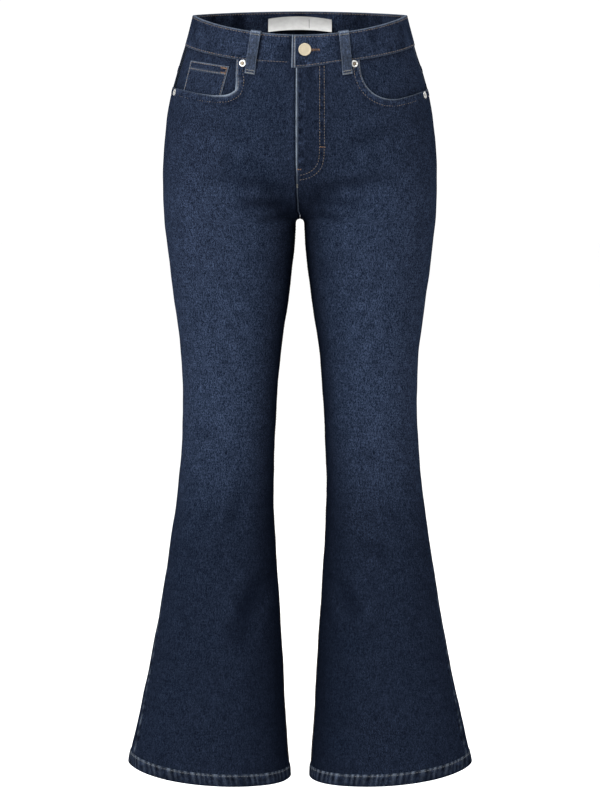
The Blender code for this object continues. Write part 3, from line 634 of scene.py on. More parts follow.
class Panel:
    """One leg panel of cloth: its relief, its fading with painted shade, and its wear, wherever they are
    asked for.
    """

    def __init__(self, side, rear):
        self.side, self.rear = side, rear
        self.side_name = SIDE_NAMES[side]
        self.name = ("back_" if rear else "front_") + self.side_name

    def edges(self, u, z):
        """Distances from the inner edge and from the side seam, and the share of the way across."""
        start = girth_to(inner_edge(self.side, self.rear, z), z, self.rear)
        here = girth_to(u, z, self.rear)
        end = girth_to(1.0, z, self.rear)
        return here - start, end - here, (here - start) / (end - start)

    def fly_share(self, z):
        """How far a point is up beside the fly, from 0 below its foot to 1."""
        return (not self.rear) * ease((z - FLY_FOOT) / 0.012)

    def relief(self, u, z):
        """Height of turned edges and seams above the cloth, on the outer face alone."""
        inner, outer, _ = self.edges(u, z)
        height = felled(outer, 0.00035)
        fly = self.fly_share(z)
        seam = felled(inner, 0.0004)
        if self.rear or self.side < 0:
            height = height + seam - fly * 0.0003 * bell(inner, 0.003)
        else:
            lap = 0.0011 * bell(inner, 0.0060) - 0.0002 * bell(inner - 0.0215, 0.009)
            height = height + seam * (1 - fly) + fly * lap
        if not self.rear:
            mouth, _ = from_mouth(self.side_name, u, z)
            turned_in = 0.0005 * ease((MOUTH_TURN + 0.0012 - mouth) / 0.0020)
            grooves = 0.00025 * (bell(mouth - MOUTH_ROW, 0.0007) + bell(mouth - MOUTH_TURN, 0.0007))
            height = height + turned_in - grooves - 0.0004 * bell(mouth, 0.0006)
        return height

    def place(self, u, z, out=0.0, relief=True):
        """Points on this panel's outer face, moved out."""
        points = half_point(u, z, self.rear)
        mirrored = points * (self.side, 1, 1)
        height = creases(mirrored, self.name) + ripples(mirrored) + out
        if relief:
            height = height + self.relief(u, z)
        points = points + half_normal(u, z, self.rear) * height[:, None]
        return points * (self.side, 1, 1)

    def normal(self, u, z):
        return half_normal(u, z, self.rear) * (self.side, 1, 1)

    def flat(self, u, z):
        """Place on the pattern piece, with the grain down the middle of the panel."""
        return np.stack([girth_to(u, z, self.rear) - girth_to(1.0, z, self.rear) / 2, z], -1)

    def tone(self, z, share):
        """The fading across a leg, lightest just past its middle; the darker inner side is partly painted
        shade between the legs.
        """
        places = ("inner", "middle", "outer")
        inner, middle, outer = (smooth_curve(LEG_TONE_AND_SHADE["height"], LEG_TONE_AND_SHADE[name], z) for name in places)
        inside = share < PALEST_SHARE
        edge = np.where(inside, inner, outer)
        across = np.abs(share - PALEST_SHARE) / np.where(inside, PALEST_SHARE, 1 - PALEST_SHARE)
        fading = np.where(inside, 1.6, 1.2)
        return edge + (middle - edge) * np.cos(np.clip(across, 0, 1) * np.pi / 2) ** fading

    def marks(self, u, z):
        """Fading with painted shade, wear and puckering of the cloth at these places."""
        inner, outer, share = self.edges(u, z)
        points = half_point(u, z, self.rear) * (self.side, 1, 1)
        low = ease((LOW_LEG[0] - z) / LOW_LEG[1])
        outer_dashes = dashes(z, OUTSEAM_DASHES, 1.0 + self.side)
        inner_dashes = dashes(z, INSEAM_DASHES, 3.0 + self.side)
        pucker = (0.25 + 0.55 * low) * (bell(outer - 0.003, 0.0045) + bell(inner - 0.003, 0.0040))
        worn = outer_dashes * bell(outer - 0.0012, 0.0014) + 0.5 * inner_dashes * bell(inner, 0.0016)
        # Crease troughs are darker and their shoulders paler in colour: partly whisker fading, partly painted
        # crease shade.
        wash_and_shade = self.tone(z, share) + CREASE_FADING_AND_SHADE * creases(points, self.name)
        wash_and_shade += (0.05 + 0.05 * low) * (outer_dashes - 0.35) * bell(outer - 0.0050, 0.0042)
        on_leg = ease((-0.29 - z) / 0.03)
        wash_and_shade += (0.05 + 0.06 * low) * (inner_dashes - 0.25) * bell(inner - 0.0050, 0.0035) * on_leg
        marks = {"wash_and_shade": wash_and_shade, "wear": (0.05 + 0.17 * low) * worn, "pucker": pucker}
        if not self.rear:
            dots = 0.85 + 0.15 * np.sin(z * 2400)
            self.mark_fly(marks, z, inner, dots)
            self.mark_mouth(marks, u, z, dots)
        return marks

    def mark_fly(self, marks, z, inner, dots):
        """The light edge, the puckers and the pale ridges of the fly, and the shade beside it."""
        if self.side < 0:
            # Painted shadow on the right front, beside the edge of the fly.
            marks["wash_and_shade"] -= 0.20 * bell(inner, 0.0022)
            return
        above = self.fly_share(z)
        thin = ease((-0.212 - z) / 0.012)
        line = bell(inner, 0.0010 - 0.0003 * thin) * (0.52 + 0.38 * above)
        marks["wear"] = np.maximum(marks["wear"], line * dots * ease((z + 0.263) / 0.008))
        puckers = 0.75 * bell(inner - 0.006, 0.006) + 0.6 * bell(inner - 0.034, 0.006)
        marks["pucker"] = np.maximum(marks["pucker"], above * puckers)
        ridges = sum(dashes(z, pitch, seed) * bell(inner - away, 0.0035) for pitch, seed, away in FLY_RIDGES)
        streak = (z > -0.170) * bell(inner - 0.0105, 0.0024) * (0.5 + 0.5 * dashes(z, 0.030, 2.0))
        marks["wash_and_shade"] += above * (0.24 * ridges + 0.12 * streak - 0.08 * (inner < 0.040))

    def mark_mouth(self, marks, u, z, dots):
        """The worn edge of the pocket mouth, most at its lower inner corner, with painted shadow just below
        that corner.
        """
        mouth, along = from_mouth(self.side_name, u, z)
        strong, at, plain = MOUTH_WEAR_AND_SHADE[self.side]
        corner = strong * bell(along - at, 0.15)
        edge = (plain + 0.70 * corner) * bell(mouth, 0.0010 + 0.0009 * corner)
        marks["wear"] = np.maximum(marks["wear"], edge * dots)
        marks["pucker"] = np.maximum(marks["pucker"], 0.8 * bell(mouth - 0.0055, 0.0040))
        # A lighter band between the edge and the second row, and painted shadow below the worn corner.
        marks["wash_and_shade"] += 0.10 * bell(mouth - 0.0050, 0.0035) - 0.12 * corner * bell(mouth - 0.0110, 0.0045)


def linked(name, data):
    """An object of the data, in the scene."""
    made = bpy.data.objects.new(name, data)
    bpy.context.scene.collection.objects.link(made)
    return made


def mesh_of(shape, name, *finishes):
    """A mesh with the form of a bmesh, which is freed."""
    mesh = bpy.data.meshes.new(name)
    shape.to_mesh(mesh)
    shape.free()
    for finish in finishes:
        mesh.materials.append(finish)
    return mesh


def cloth_wall(name, columns, rows, shape, finishes):
    """A cloth wall: a grid extruded to two layers. shape(column, row, layer) gives each point,
    its place on the flat piece, and its fading with painted shade, wear and puckering."""
    grid = bmesh.new()
    to_indices = Matrix.Translation((columns / 2, rows / 2, 0))
    to_indices = to_indices @ Matrix.Diagonal((columns / 2, rows / 2, 1, 1))
    bmesh.ops.create_grid(grid, x_segments=columns, y_segments=rows, size=1, matrix=to_indices)
    inside = bmesh.ops.extrude_face_region(grid, geom=grid.faces[:], use_keep_orig=True)["geom"]
    inside = [item for item in inside if isinstance(item, bmesh.types.BMVert)]
    bmesh.ops.translate(grid, verts=inside, vec=(0, 0, 1))
    bmesh.ops.recalc_face_normals(grid, faces=grid.faces)
    mesh = mesh_of(grid, name, *finishes)
    index = np.empty(len(mesh.vertices) * 3)
    mesh.vertices.foreach_get("co", index)
    column, row, layer = np.rint(index.reshape(-1, 3)).T
    points, flat, marks = shape(column, row, layer)
    mesh.vertices.foreach_set("co", points.ravel())
    corners = np.empty(len(mesh.loops), int)
    mesh.loops.foreach_get("vertex_index", corners)
    mesh.uv_layers.new(name="cloth").data.foreach_set("uv", flat[corners].ravel())
    for mark in MARKS:
        values = np.broadcast_to(marks.get(mark, 0.0), len(points)).astype(np.float32)
        mesh.attributes.new(mark, "FLOAT", "POINT").data.foreach_set("value", values)
    starts = np.empty(len(mesh.polygons), int)
    mesh.polygons.foreach_get("loop_start", starts)
    inner_face = np.minimum.reduce([layer[corners[starts + step]] for step in range(4)])
    mesh.polygons.foreach_set("material_index", (inner_face * (len(finishes) - 1)).astype(int))
    return finished(name, mesh)


def finished(name, mesh):
    """An object of a closed mesh, its faces outwards."""
    shell = bmesh.new()
    shell.from_mesh(mesh)
    if shell.calc_volume(signed=True) < 0:
        bmesh.ops.reverse_faces(shell, faces=shell.faces)
    shell.to_mesh(mesh)
    shell.free()
    mesh.shade_smooth()
    mesh.set_sharp_from_angle(angle=SHARP_ANGLE)
    piece = linked(name, mesh)
    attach(piece, "root")
    return piece


def row_heights():
    """Heights of a leg panel's rows below its top part, at the inseam."""
    heights = [TOP_BOTTOM]
    for down_to, rows in ROW_RUNS:
        heights.extend(np.linspace(heights[-1], down_to, rows + 1)[1:])
    return np.array(heights)


LEG_HEIGHTS = row_heights()


def crowded(share):
    """Even steps drawn towards both edges of a panel."""
    return share - EDGE_CROWDING * np.sin(2 * np.pi * share) / (2 * np.pi)


def leg_place(panel, column, row, columns, top_u, top_z, top_rows):
    """(u, z) of a leg panel's points: rows ease from the top edge to level, then to the hem."""
    down = np.clip(row / top_rows, 0, 1) ** TOP_CROWDING
    level = np.clip(row - top_rows, 0, len(LEG_HEIGHTS) - 1).astype(int)
    z = LEG_HEIGHTS[level]
    start = inner_edge(panel.side, panel.rear, z)
    even_u = start + (1 - SEAM_GAP - start) * crowded(column / columns)
    pick = column.astype(int)
    crowd = CROWDING * (1 - ease((TOP_BOTTOM - z) / (TOP_BOTTOM - CROWD_BOTTOM)))
    foot_u = even_u + crowd * (top_u[pick] - even_u)
    u = (1 - down) * top_u[pick] + down * foot_u
    z = (1 - down) * top_z[pick] + down * z
    bottom = hem_line(half_point(u, z, panel.rear)[..., 0], u, panel.rear) + HEM_HEIGHT - SEAM_TUCK
    slant = ease((z - HEM_SLANT_TOP) / (LEG_HEIGHTS[-1] - HEM_SLANT_TOP))
    return u, z + (bottom - LEG_HEIGHTS[-1]) * slant


def wall_name(kind, panel):
    return kind + "_" + panel.side_name + "_cloth"


def panel_wall(panel, columns, top_rows, top_u, top_z):
    def shape(column, row, layer):
        u, z = leg_place(panel, column, row, columns, top_u, top_z, top_rows)
        gape = np.zeros(len(u))
        if not panel.rear:
            along = np.clip((column - WAIST_COLUMNS) / MOUTH_COLUMNS, 0, 1)
            gape = MOUTH_GAPE * np.sin(np.pi * along) * np.clip(1 - row / top_rows, 0, 1) ** 2
        outer = panel.place(u, z, gape)
        first = column < 0.5
        tuck = first * (panel.side < 0) * (not panel.rear) * ease((-0.235 - z) / 0.010)
        under = np.where(first & panel.rear, 0.0, u - tuck * FLY_TUCK / 0.28)
        inner = panel.place(under, z, gape - CLOTH - tuck * 0.0003, relief=False)
        closed = first & panel.rear & (z > CROTCH_HEIGHT)
        inner[:, 0] = np.where(closed, 0.0, inner[:, 0])
        return np.where(layer[:, None] < 0.5, outer, inner), panel.flat(u, z), panel.marks(u, z)

    rows = top_rows + len(LEG_HEIGHTS) - 1
    return cloth_wall(panel.name + "_cloth", columns, rows, shape, BODY_CLOTH)


def front_panel(panel):
    mouth = mouth_curve(panel.side_name, MOUTH_COLUMNS + 1)
    mouth[0, 1] = band_seam(mouth[0, 0], False) + SEAM_TUCK
    start = inner_edge(panel.side, False, mouth[0, 1])
    waist = start + (mouth[0, 0] - start) * np.linspace(0, 1, WAIST_COLUMNS + 1)[:-1] ** 1.25
    top_u = np.concatenate([waist, mouth[:, 0]])
    top_z = np.concatenate([band_seam(waist, False) + SEAM_TUCK, mouth[:, 1]])
    return panel_wall(panel, FRONT_COLUMNS, TOP_ROWS, top_u, top_z)


def back_panel(panel):
    first = inner_edge(panel.side, True, YOKE_AT_CENTRE)
    top_u = first + (1 - SEAM_GAP - first) * crowded(np.linspace(0, 1, BACK_COLUMNS + 1))
    return panel_wall(panel, BACK_COLUMNS, BACK_TOP_ROWS, top_u, yoke_seam(top_u) - SEAM_GAP / 2)


def yoke(panel):
    columns, rows = 72, 24

    def shape(column, row, layer):
        start = inner_edge(panel.side, True, YOKE_AT_CENTRE)
        u = start + (1 - SEAM_GAP - start) * crowded(column / columns)
        top = band_seam(u, True) + SEAM_TUCK
        bottom = yoke_seam(u) + SEAM_GAP / 2
        z = top + (bottom - top) * crowded(row / rows)
        over = 0.0005 * ease((0.0085 - (z - bottom)) / 0.0015) - 0.0004 * bell(z - bottom, 0.0007)
        outer = panel.place(u, z, over)
        inner = panel.place(np.where(column < 0.5, 0.0, u), z, -CLOTH, relief=False)
        marks = panel.marks(u, z)
        marks["wear"] = np.maximum(marks["wear"], 0.3 * bell(z - bottom, 0.0011))
        marks["pucker"] = np.maximum(marks["pucker"], 0.6 * bell(z - bottom - 0.005, 0.004))
        return np.where(layer[:, None] < 0.5, outer, inner), panel.flat(u, z), marks

    return cloth_wall(wall_name("yoke", panel), columns, rows, shape, BODY_CLOTH)


def facing(panel):
    """The cloth behind a pocket mouth."""
    columns, rows = 48, 28
    first = u_at(SCOOPS[panel.side_name][0][0] - FACING_TUCK, FACING_LEVEL)
    depth = FACING_DEPTH[panel.side_name]

    def shape(column, row, layer):
        u = first + (1 - SEAM_GAP - first) * column / columns
        top = band_seam(u, False) + SEAM_TUCK
        z = top + (FACING_BOTTOM - top) * row / rows
        points = panel.place(u, z, -depth - layer * CLOTH, relief=False)
        mouth, _ = from_mouth(panel.side_name, u, z)
        # Painted shadow: the facing is darker along the edge of the pocket mouth.
        return points, panel.flat(u, z), {"wash_and_shade": 0.33 - 0.10 * bell(mouth, 0.006)}

    return cloth_wall(wall_name("pocket_facing", panel), columns, rows, shape, BODY_CLOTH)


def coin_place(x, z, out):
    """Points on the coin pocket's outer face."""
    return RIGHT_FRONT.place(u_at(x, FACING_LEVEL), z, out - CLOTH - UNDER_GAP, relief=False)


def coin_pocket():
    columns, rows = 36, 30

    def shape(column, row, layer):
        share = column / columns
        x = COIN_SIDES[0] + (COIN_SIDES[1] - COIN_SIDES[0]) * share
        head = COIN_HEAD + COIN_SLOPE * (x - COIN_SIDES[0])
        z = head + (COIN_FOOT - head) * row / rows
        edge = np.minimum(head - z, np.minimum(x - COIN_SIDES[0], COIN_SIDES[1] - x))
        turned_in = 0.0004 * ease((0.0105 - (head - z)) / 0.0016)
        lift = np.where(layer < 0.5, 0.0003 * ease(edge / 0.0008) + turned_in - 0.0003, -CLOTH)
        wear = np.maximum(0.30 * bell(edge, 0.0009), 0.22 * bell(head - z - 0.0100, 0.0009))
        wash_and_shade, pucker = 0.34 + 0.04 * bell(edge, 0.003), 0.6 * bell(edge - 0.003, 0.004)
        marks = {"wash_and_shade": wash_and_shade, "wear": wear, "pucker": pucker}
        x = x + COIN_LEAN * (1 - share) * (head - z)
        return coin_place(x, z, lift), RIGHT_FRONT.flat(u_at(x, FACING_LEVEL), z), marks

    return cloth_wall("coin_pocket_cloth", columns, rows, shape, BODY_CLOTH)


def around(turn, z, out):
    """A point on the waist, turn from the front middle by the wearer's left, a quarter at a time."""
    angle = (turn - 1) * np.pi / 2
    size = (0, size_at("outer", z), *body_depth(z))
    x, y = oval(angle, *size)
    ahead_x, ahead_y = oval(angle + 1e-3, *size)
    length = np.hypot(ahead_x - x, ahead_y - y)
    return np.stack([x + (ahead_y - y) / length * out, y - (ahead_x - x) / length * out, z], -1)


QUARTER = SECTION["outer"][-2] * np.pi / 2
BAND_FIRST = -BAND_OVERLAP / QUARTER
BAND_LAST = 4 + BAND_UNDERLAP / QUARTER


def facing_front(turn):
    """1 at the front middle, 0 at the sides and -1 at the back middle."""
    return -np.sin((turn - 1) * np.pi / 2)


def band_lift(turn):
    front = facing_front(turn)
    return edge_lift(front ** 2, front < 0)


def band_top(turn):
    front = facing_front(turn)
    return waist_level(front ** 2, front <= 0) + band_lift(turn)


def band_place(turn, down, out=0.0):
    """Points on the waistband's outer face, down from its top edge."""
    sunk = (BAND_THICK + 2 * LAYER_GAP) * ease((turn - SINK_START) / SINK_RUN)
    return around(turn, band_top(turn) - down, BAND_PROUD - sunk + out)


def beside_loops(turn, down):
    """Shade of the belt loops on the waistband, from 0 to 1."""
    x = around(turn, band_top(turn) - down, 0)[:, 0]
    shaded = np.zeros(len(turn))
    for loop in LOOPS:
        along = loop["x_top"] + (loop["x_bottom"] - loop["x_top"]) * down / LOOP_PATH[-1][0]
        away = np.abs(x - loop["side"] * along) - LOOP_WIDTH / 2
        same = (turn > 1) & (turn < 3) if loop["rear"] else (turn < 1) | (turn > 3)
        shaded = np.maximum(shaded, same * bell(np.maximum(away, 0), 0.0028))
    return shaded


def waistband():
    columns, rows, fine = 370, 18, 30
    length = (BAND_LAST - BAND_FIRST) * QUARTER

    def shape(column, row, layer):
        rest = FINE_END + (length - FINE_END) * (column - fine) / (columns - fine)
        end = np.where(column > fine, rest, FINE_END * column / fine)
        turn = BAND_FIRST + end / QUARTER
        droop = 1 - ease(end / LAP_DROOP_RUN)
        height = BAND_HEIGHT + band_lift(turn) + LAP_DROOP * droop
        down = height * crowded(row / rows)
        edge = np.minimum(down, height - down)
        roll = rounding(edge, FOLD_RADIUS, FOLD_FALL)
        puff = 0.00035 * np.sin(np.pi * down / height) - 0.00025 * bell(edge - 0.0028, 0.0008)
        puff = puff + 0.0012 * droop * ease(down / height)
        wave = 0.00022 * np.sin(turn * 61 + down * 90) * np.sin(turn * 23 + 1.2)
        outer = puff + wave - roll - 0.0003 * bell(end - 0.0030, 0.0008)
        inner = -BAND_THICK + roll * 0.7
        # Painted shadow on the band: darker beside the lapped end and beside each belt loop.
        lapped = bell(turn * QUARTER + BAND_OVERLAP + 0.0012, 0.0016)
        lapped = lapped + bell((turn - 4) * QUARTER + 0.0112, 0.0022)
        shade = 0.22 * beside_loops(turn, down) + 0.2 * lapped * (end > FINE_END)
        worn_edges = np.maximum(0.24 * bell(down, 0.0012), 0.14 * bell(height - down, 0.0012))
        worn_end = 0.55 * bell(end, 0.0011) + 0.42 * bell(end - 0.0036, 0.0007)
        marks = {
            "wash_and_shade": 0.36 + 0.06 * bell(edge, 0.004) + 0.03 * np.sin(turn * 9) - shade,
            "wear": np.maximum(worn_edges, worn_end),
            "pucker": 0.75 * bell(edge - 0.0015, 0.0040) + 0.5 * bell(end - 0.003, 0.004),
        }
        points = band_place(turn, down, np.where(layer < 0.5, outer, inner))
        return points, np.stack([turn * QUARTER, -down], -1), marks

    return cloth_wall("waistband_cloth", columns, rows, shape, BAND_CLOTH)


# Hidden strips behind the fly, from the front inwards; x is towards the wearer's left
STRIPS = by_row(("name", "x_from", "x_to", "top", "foot", "layer", "thick"), (
    ("fly_facing", 0.0000, 0.0340, -0.0400, -0.1850, 1, 0.0011),
    ("zip_tape", -0.0080, 0.0180, -0.0780, -0.1790, 2, 0.0010),
    ("fly_shield", -0.0140, 0.0360, -0.0400, -0.1890, 3, 0.0011),
))


def strip_place(x, z, out):
    u = x / quarter_girth(FLY_LEVEL)
    points = half_point(u, z, False)
    height = out + creases(points, "front_left")
    return points + half_normal(u, z, False) * height[:, None]


def strip(row, finishes):
    """An upright strip behind the fly, cut off below the waistband."""
    columns, rows = 16, 56

    def shape(column, step, layer):
        x = row["x_from"] + (row["x_to"] - row["x_from"]) * column / columns
        head = np.minimum(row["top"], band_seam(x / quarter_girth(FLY_LEVEL), False) - 2 * SEAM_GAP)
        z = head + (row["foot"] - head) * step / rows
        depth = row["layer"] * (CLOTH + UNDER_GAP)
        edge = np.minimum(x - row["x_from"], row["x_to"] - x)
        marks = {"wash_and_shade": 0.30, "wear": 0.3 * bell(edge, 0.0010)}
        return strip_place(x, z, -depth - layer * row["thick"]), np.stack([x, z], -1), marks

    return cloth_wall(row["name"] + "_cloth", columns, rows, shape, finishes)


def hem_ring(share, down, out, panels):
    """Points on a hem: share 0 to 1 is the front from the inseam, 1 to 2 the back to the inseam."""
    rear = share > 1
    u = np.where(rear, 2 - share, share)
    z = np.full(len(u), HEM_INSEAM)
    for _ in range(4):
        x = np.where(rear, half_point(u, z, True)[:, 0], half_point(u, z, False)[:, 0])
        z = hem_line(x, u, rear) + HEM_HEIGHT - down
    fronts, backs = (panel.place(u, z, out, relief=False) for panel in panels)
    front_length, back_length = (girth_to(u, z, side) for side in (False, True))
    around_leg = np.where(rear, 2 * girth_to(1.0, z, False) - back_length, front_length)
    return np.where(rear[:, None], backs, fronts), np.stack([around_leg, z], -1)


def hem(panels):
    """The turned-up hem, roped by its stitching."""
    columns, rows = 520, 12
    side = panels[0].side

    def shape(column, row, layer):
        share = 2 * column / columns
        down = HEM_HEIGHT * crowded(row / rows)
        _, flat = hem_ring(share, down, 0.0, panels)
        roll = rounding(np.minimum(down, HEM_HEIGHT - down), FOLD_RADIUS, 0.0010)
        slant = flat[:, 0] + (down - HEM_HEIGHT / 2) * 0.12
        light = dashes(slant, HEM_DASHES, 4.0 + side)
        rope = 2 * light - 0.7
        swell = np.sin(np.pi * np.clip(down / HEM_HEIGHT, 0, 1))
        lift = HEM_PROUD + (0.00035 + 0.00030 * rope) * swell - roll
        outer = lift - 0.0003 * bell(down - HEM_STITCH_DOWN, 0.0008)
        out = np.where(layer < 0.5, outer, HEM_PROUD - HEM_THICK + roll * 0.7)
        points, flat = hem_ring(share, down, out, panels)
        foot_wear = 0.06 * light * ease((HEM_HEIGHT - down) / 0.006)
        marks = {
            "wash_and_shade": 0.10 + 0.21 * light * (1 - 0.5 * down / HEM_HEIGHT) + 0.06 * bell(down - 0.002, 0.003),
            "wear": (0.03 + 0.26 * light) * bell(down - 0.0018, 0.0018) + foot_wear,
            "pucker": 0.45 + 0.35 * bell(down - 0.002, 0.004),
        }
        return points, flat, marks

    return cloth_wall(wall_name("hem", panels[0]), columns, rows, shape, BAND_CLOTH)


def pocket_place(panel, across, down, out):
    """Points on a back pocket: across -1 to 1, down 0 to 1."""
    x = POCKET_MIDDLE + across * (POCKET_WIDTH / 2 - POCKET_TAPER * down)
    z = POCKET_TOP - down * (POCKET_HEIGHT + POCKET_POINT * (1 - np.abs(across)))
    u = u_at(x, z, True)
    return panel.place(u, z, POCKET_LIFT + out, relief=False), u, z


def back_pocket(panel):
    columns, rows = 60, 60

    def shape(column, row, layer):
        across = 2 * crowded(column / columns) - 1
        down = crowded(row / rows)
        side = (1 - np.abs(across)) * (POCKET_WIDTH / 2 - POCKET_TAPER * down)
        foot = (1 - down) * (POCKET_HEIGHT + POCKET_POINT * (1 - np.abs(across)))
        top = down * POCKET_HEIGHT
        edge = np.minimum(np.minimum(side, foot), top)
        turned = 0.0004 * ease((0.0085 - np.minimum(side, foot)) / 0.0016)
        turned = np.maximum(turned, 0.0005 * ease((0.0150 - top) / 0.0016))
        roll = rounding(edge, 0.0010, 0.0006)
        belly = 0.0009 * np.sin(np.pi * np.clip(across / 2 + 0.5, 0, 1)) * np.sin(np.pi * np.clip(down, 0, 1))
        out = np.where(layer < 0.5, CLOTH + turned + belly - roll, belly)
        points, u, z = pocket_place(panel, across, down, out)
        pale_middle = 0.08 * np.cos(across * 1.4) * np.cos((down - 0.5) * 2)
        marks = {
            "wash_and_shade": 0.35 + pale_middle - 0.05 * bell(edge - 0.009, 0.002),
            "wear": 0.40 * bell(edge, 0.0010),
            "pucker": 0.8 * bell(edge - 0.004, 0.0045),
        }
        return points, panel.flat(u, z), marks

    return cloth_wall(wall_name("back_pocket", panel), columns, rows, shape, BODY_CLOTH)


def loop_place(loop, across, step, out):
    """Points on a belt loop: across -1 to 1, step along its path from 0 to 1, out from its middle."""
    path = np.array(REAR_LOOP_PATH if loop["rear"] else LOOP_PATH)
    at = step * lengths_along(path)[-1]
    down, lift = smooth_path(path, at).T
    run = unit(smooth_path(path, at + 1e-4) - smooth_path(path, at - 1e-4))
    down, lift = down - run[:, 1] * out, lift + run[:, 0] * out
    share = np.clip(down / path[-1, 0], 0, 1)
    x = loop["x_top"] + (loop["x_bottom"] - loop["x_top"]) * share + across * LOOP_WIDTH / 2
    quarter = np.arcsin(np.clip(np.abs(x) / size_at("outer", LOOP_LEVEL), 0, 1)) / (np.pi / 2)
    z = waist_edge(quarter, loop["rear"]) - down
    u = u_at(np.abs(x), z, loop["rear"])
    points = half_point(u, z, loop["rear"]) + half_normal(u, z, loop["rear"]) * lift[:, None]
    points[:, 0] *= np.where(x < 0, -1, 1) * loop["side"]
    return points


def belt_loop(number, loop):
    columns, rows = 16, 64

    def shape(column, row, layer):
        across = 2 * crowded(column / columns) - 1
        step = row / rows
        side = (1 - np.abs(across)) * LOOP_WIDTH / 2
        roll = rounding(side, 0.0010, 0.0006)
        puff = 0.00025 * bell(side - 0.0045, 0.0028) - 0.0002 * bell(side - 0.0025, 0.0006)
        out = np.where(layer < 0.5, LOOP_THICK / 2 - roll + puff, -LOOP_THICK / 2 + roll)
        head = 0.02 if loop["rear"] else 0.10
        framed = np.maximum(ease((head + 0.10 - step) / 0.03), ease((step - 0.90) / 0.02))
        ends = np.maximum(bell(step - head, 0.020), bell(step - 1.0, 0.020))
        marks = {
            "wash_and_shade": 0.46 + 0.05 * bell(side, 0.002),
            "wear": np.maximum(0.05 + (0.08 + 0.18 * framed) * bell(side, 0.0010), 0.38 * ends),
            "pucker": 0.4 + 0.4 * bell(side - 0.002, 0.003),
        }
        flat = np.stack([across * LOOP_WIDTH / 2, -step * 0.056], -1)
        return loop_place(loop, across, step, out), flat, marks

    return cloth_wall(f"belt_loop_{number}_cloth", columns, rows, shape, BAND_CLOTH)


def label():
    """The bare label inside the back of the waistband: it hangs from its top edge and curls forward."""
    columns, rows = 88, 20
    depth = BAND_THICK - BAND_PROUD + LAYER_GAP
    half = LABEL_WIDTH / 2 / quarter_girth(0.0)

    def shape(column, row, layer):
        across = column / columns * 2 - 1
        down = row / rows
        turn = 2 + half * across
        bend = 0.74 + 0.14 * across ** 2 - 0.09 * across
        arch = 0.0034 * across ** 2 - 0.0006 * across
        fall = LABEL_HEIGHT * np.sin(bend * down) / bend
        curl = LABEL_HEIGHT * (1 - np.cos(bend * down)) / bend + 0.0003 * np.sin(across * 9) * ease(down * 3)
        out = -depth - 0.0003 - curl - layer * LABEL_THICK * 0.7
        points = around(turn, band_top(turn) - LABEL_DROP - arch - fall, out)
        return points, np.stack([-across * LABEL_WIDTH / 2, -down * LABEL_HEIGHT], -1), {}

    return cloth_wall("label_cloth", columns, rows, shape, (LABEL_CLOTH,))


def threads(name, lines, thread, radius):
    """Sewing as one piece: each line of points is a thread or a single stitch, thinner at its ends."""
    curve = bpy.data.curves.new(name, "CURVE")
    curve.dimensions = "3D"
    curve.bevel_depth = radius
    curve.bevel_resolution = 0
    curve.use_fill_caps = True
    for line in lines:
        spline = curve.splines.new("POLY")
        spline.points.add(len(line) - 1)
        spline.points.foreach_set("co", np.column_stack([line, np.ones(len(line))]).ravel())
        spline.points[0].radius = spline.points[-1].radius = 0.55
    drawn = linked(name + "_drawn", curve)
    shown = drawn.evaluated_get(bpy.context.evaluated_depsgraph_get())
    mesh = bpy.data.meshes.new_from_object(shown)
    mesh.name = name
    bpy.data.objects.remove(drawn)
    mesh.materials.clear()
    mesh.materials.append(thread)
    mesh.shade_smooth()
    piece = linked(name, mesh)
    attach(piece, "root")


def evenly(path, normals, step):
    """A path and its normals again, at even steps along its length."""
    along = lengths_along(path)
    at = np.linspace(0, along[-1], max(2, int(round(along[-1] / step)) + 1))

    def again(values):
        return np.stack([np.interp(at, along, column) for column in values.T], -1)

    return again(path), unit(again(normals))


def stitched(path, normals, length=STITCH_LENGTH, gap=STITCH_GAP):
    """Stitches along a path: each dips into the cloth at its ends, and sits a little askew."""
    fine, normals = evenly(path, normals, (length + gap) / 6)
    tilt = RANDOM.uniform(-0.00014, 0.00014, len(fine) // 6 + 1)
    sunk = RANDOM.uniform(-0.00022, 0.00010, len(fine) // 6 + 1)
    lines = []
    for number, start in enumerate(range(0, len(fine) - 5, 6)):
        three = [start, start + 2, start + 4]
        ends = fine[three] + normals[three] * (STITCH_SAG + sunk[number])
        aside = np.cross(ends[2] - ends[0], normals[start])
        aside /= np.linalg.norm(aside) + 1e-12
        lines.append(ends + np.array((-1, 0, 1))[:, None] * aside * tilt[number])
    return lines


def bar_tack(points, normals, width, pitch=TACK_PITCH):
    """A bar tack or satin row between two points: one thread laid to and fro across its line."""
    run = points[1] - points[0]
    count = max(4, int(np.linalg.norm(run) / pitch))
    aside = np.cross(run, normals[0])
    aside *= width / 2 / np.linalg.norm(aside)
    shares = np.linspace(0, 1, count)
    swing = np.where(np.arange(count) % 2 == 0, 1, -1)
    return points[0] + shares[:, None] * run + swing[:, None] * aside + normals[0] * STITCH_LIFT


def panel_line(panel, u, z, out=0.0):
    """A sewing line on a leg panel: its points just above the cloth, and its normals."""
    u, z = np.broadcast_arrays(np.asarray(u, float), np.asarray(z, float))
    return panel.place(u, z, out + STITCH_LIFT), panel.normal(u, z)


def beside_mouth(side_name, distance):
    """(u, z) of a line a distance below a pocket mouth."""
    line = MOUTH_LINES[side_name]
    run = unit(np.gradient(line, axis=0))
    moved = line + np.stack([run[:, 1], -run[:, 0]], -1) * distance
    u = u_at_girth(moved[:, 0], moved[:, 1], False)
    keep = (moved[:, 1] < band_seam(u, False) - 0.0006) & (u < 0.996)
    return u[keep], moved[keep, 1]


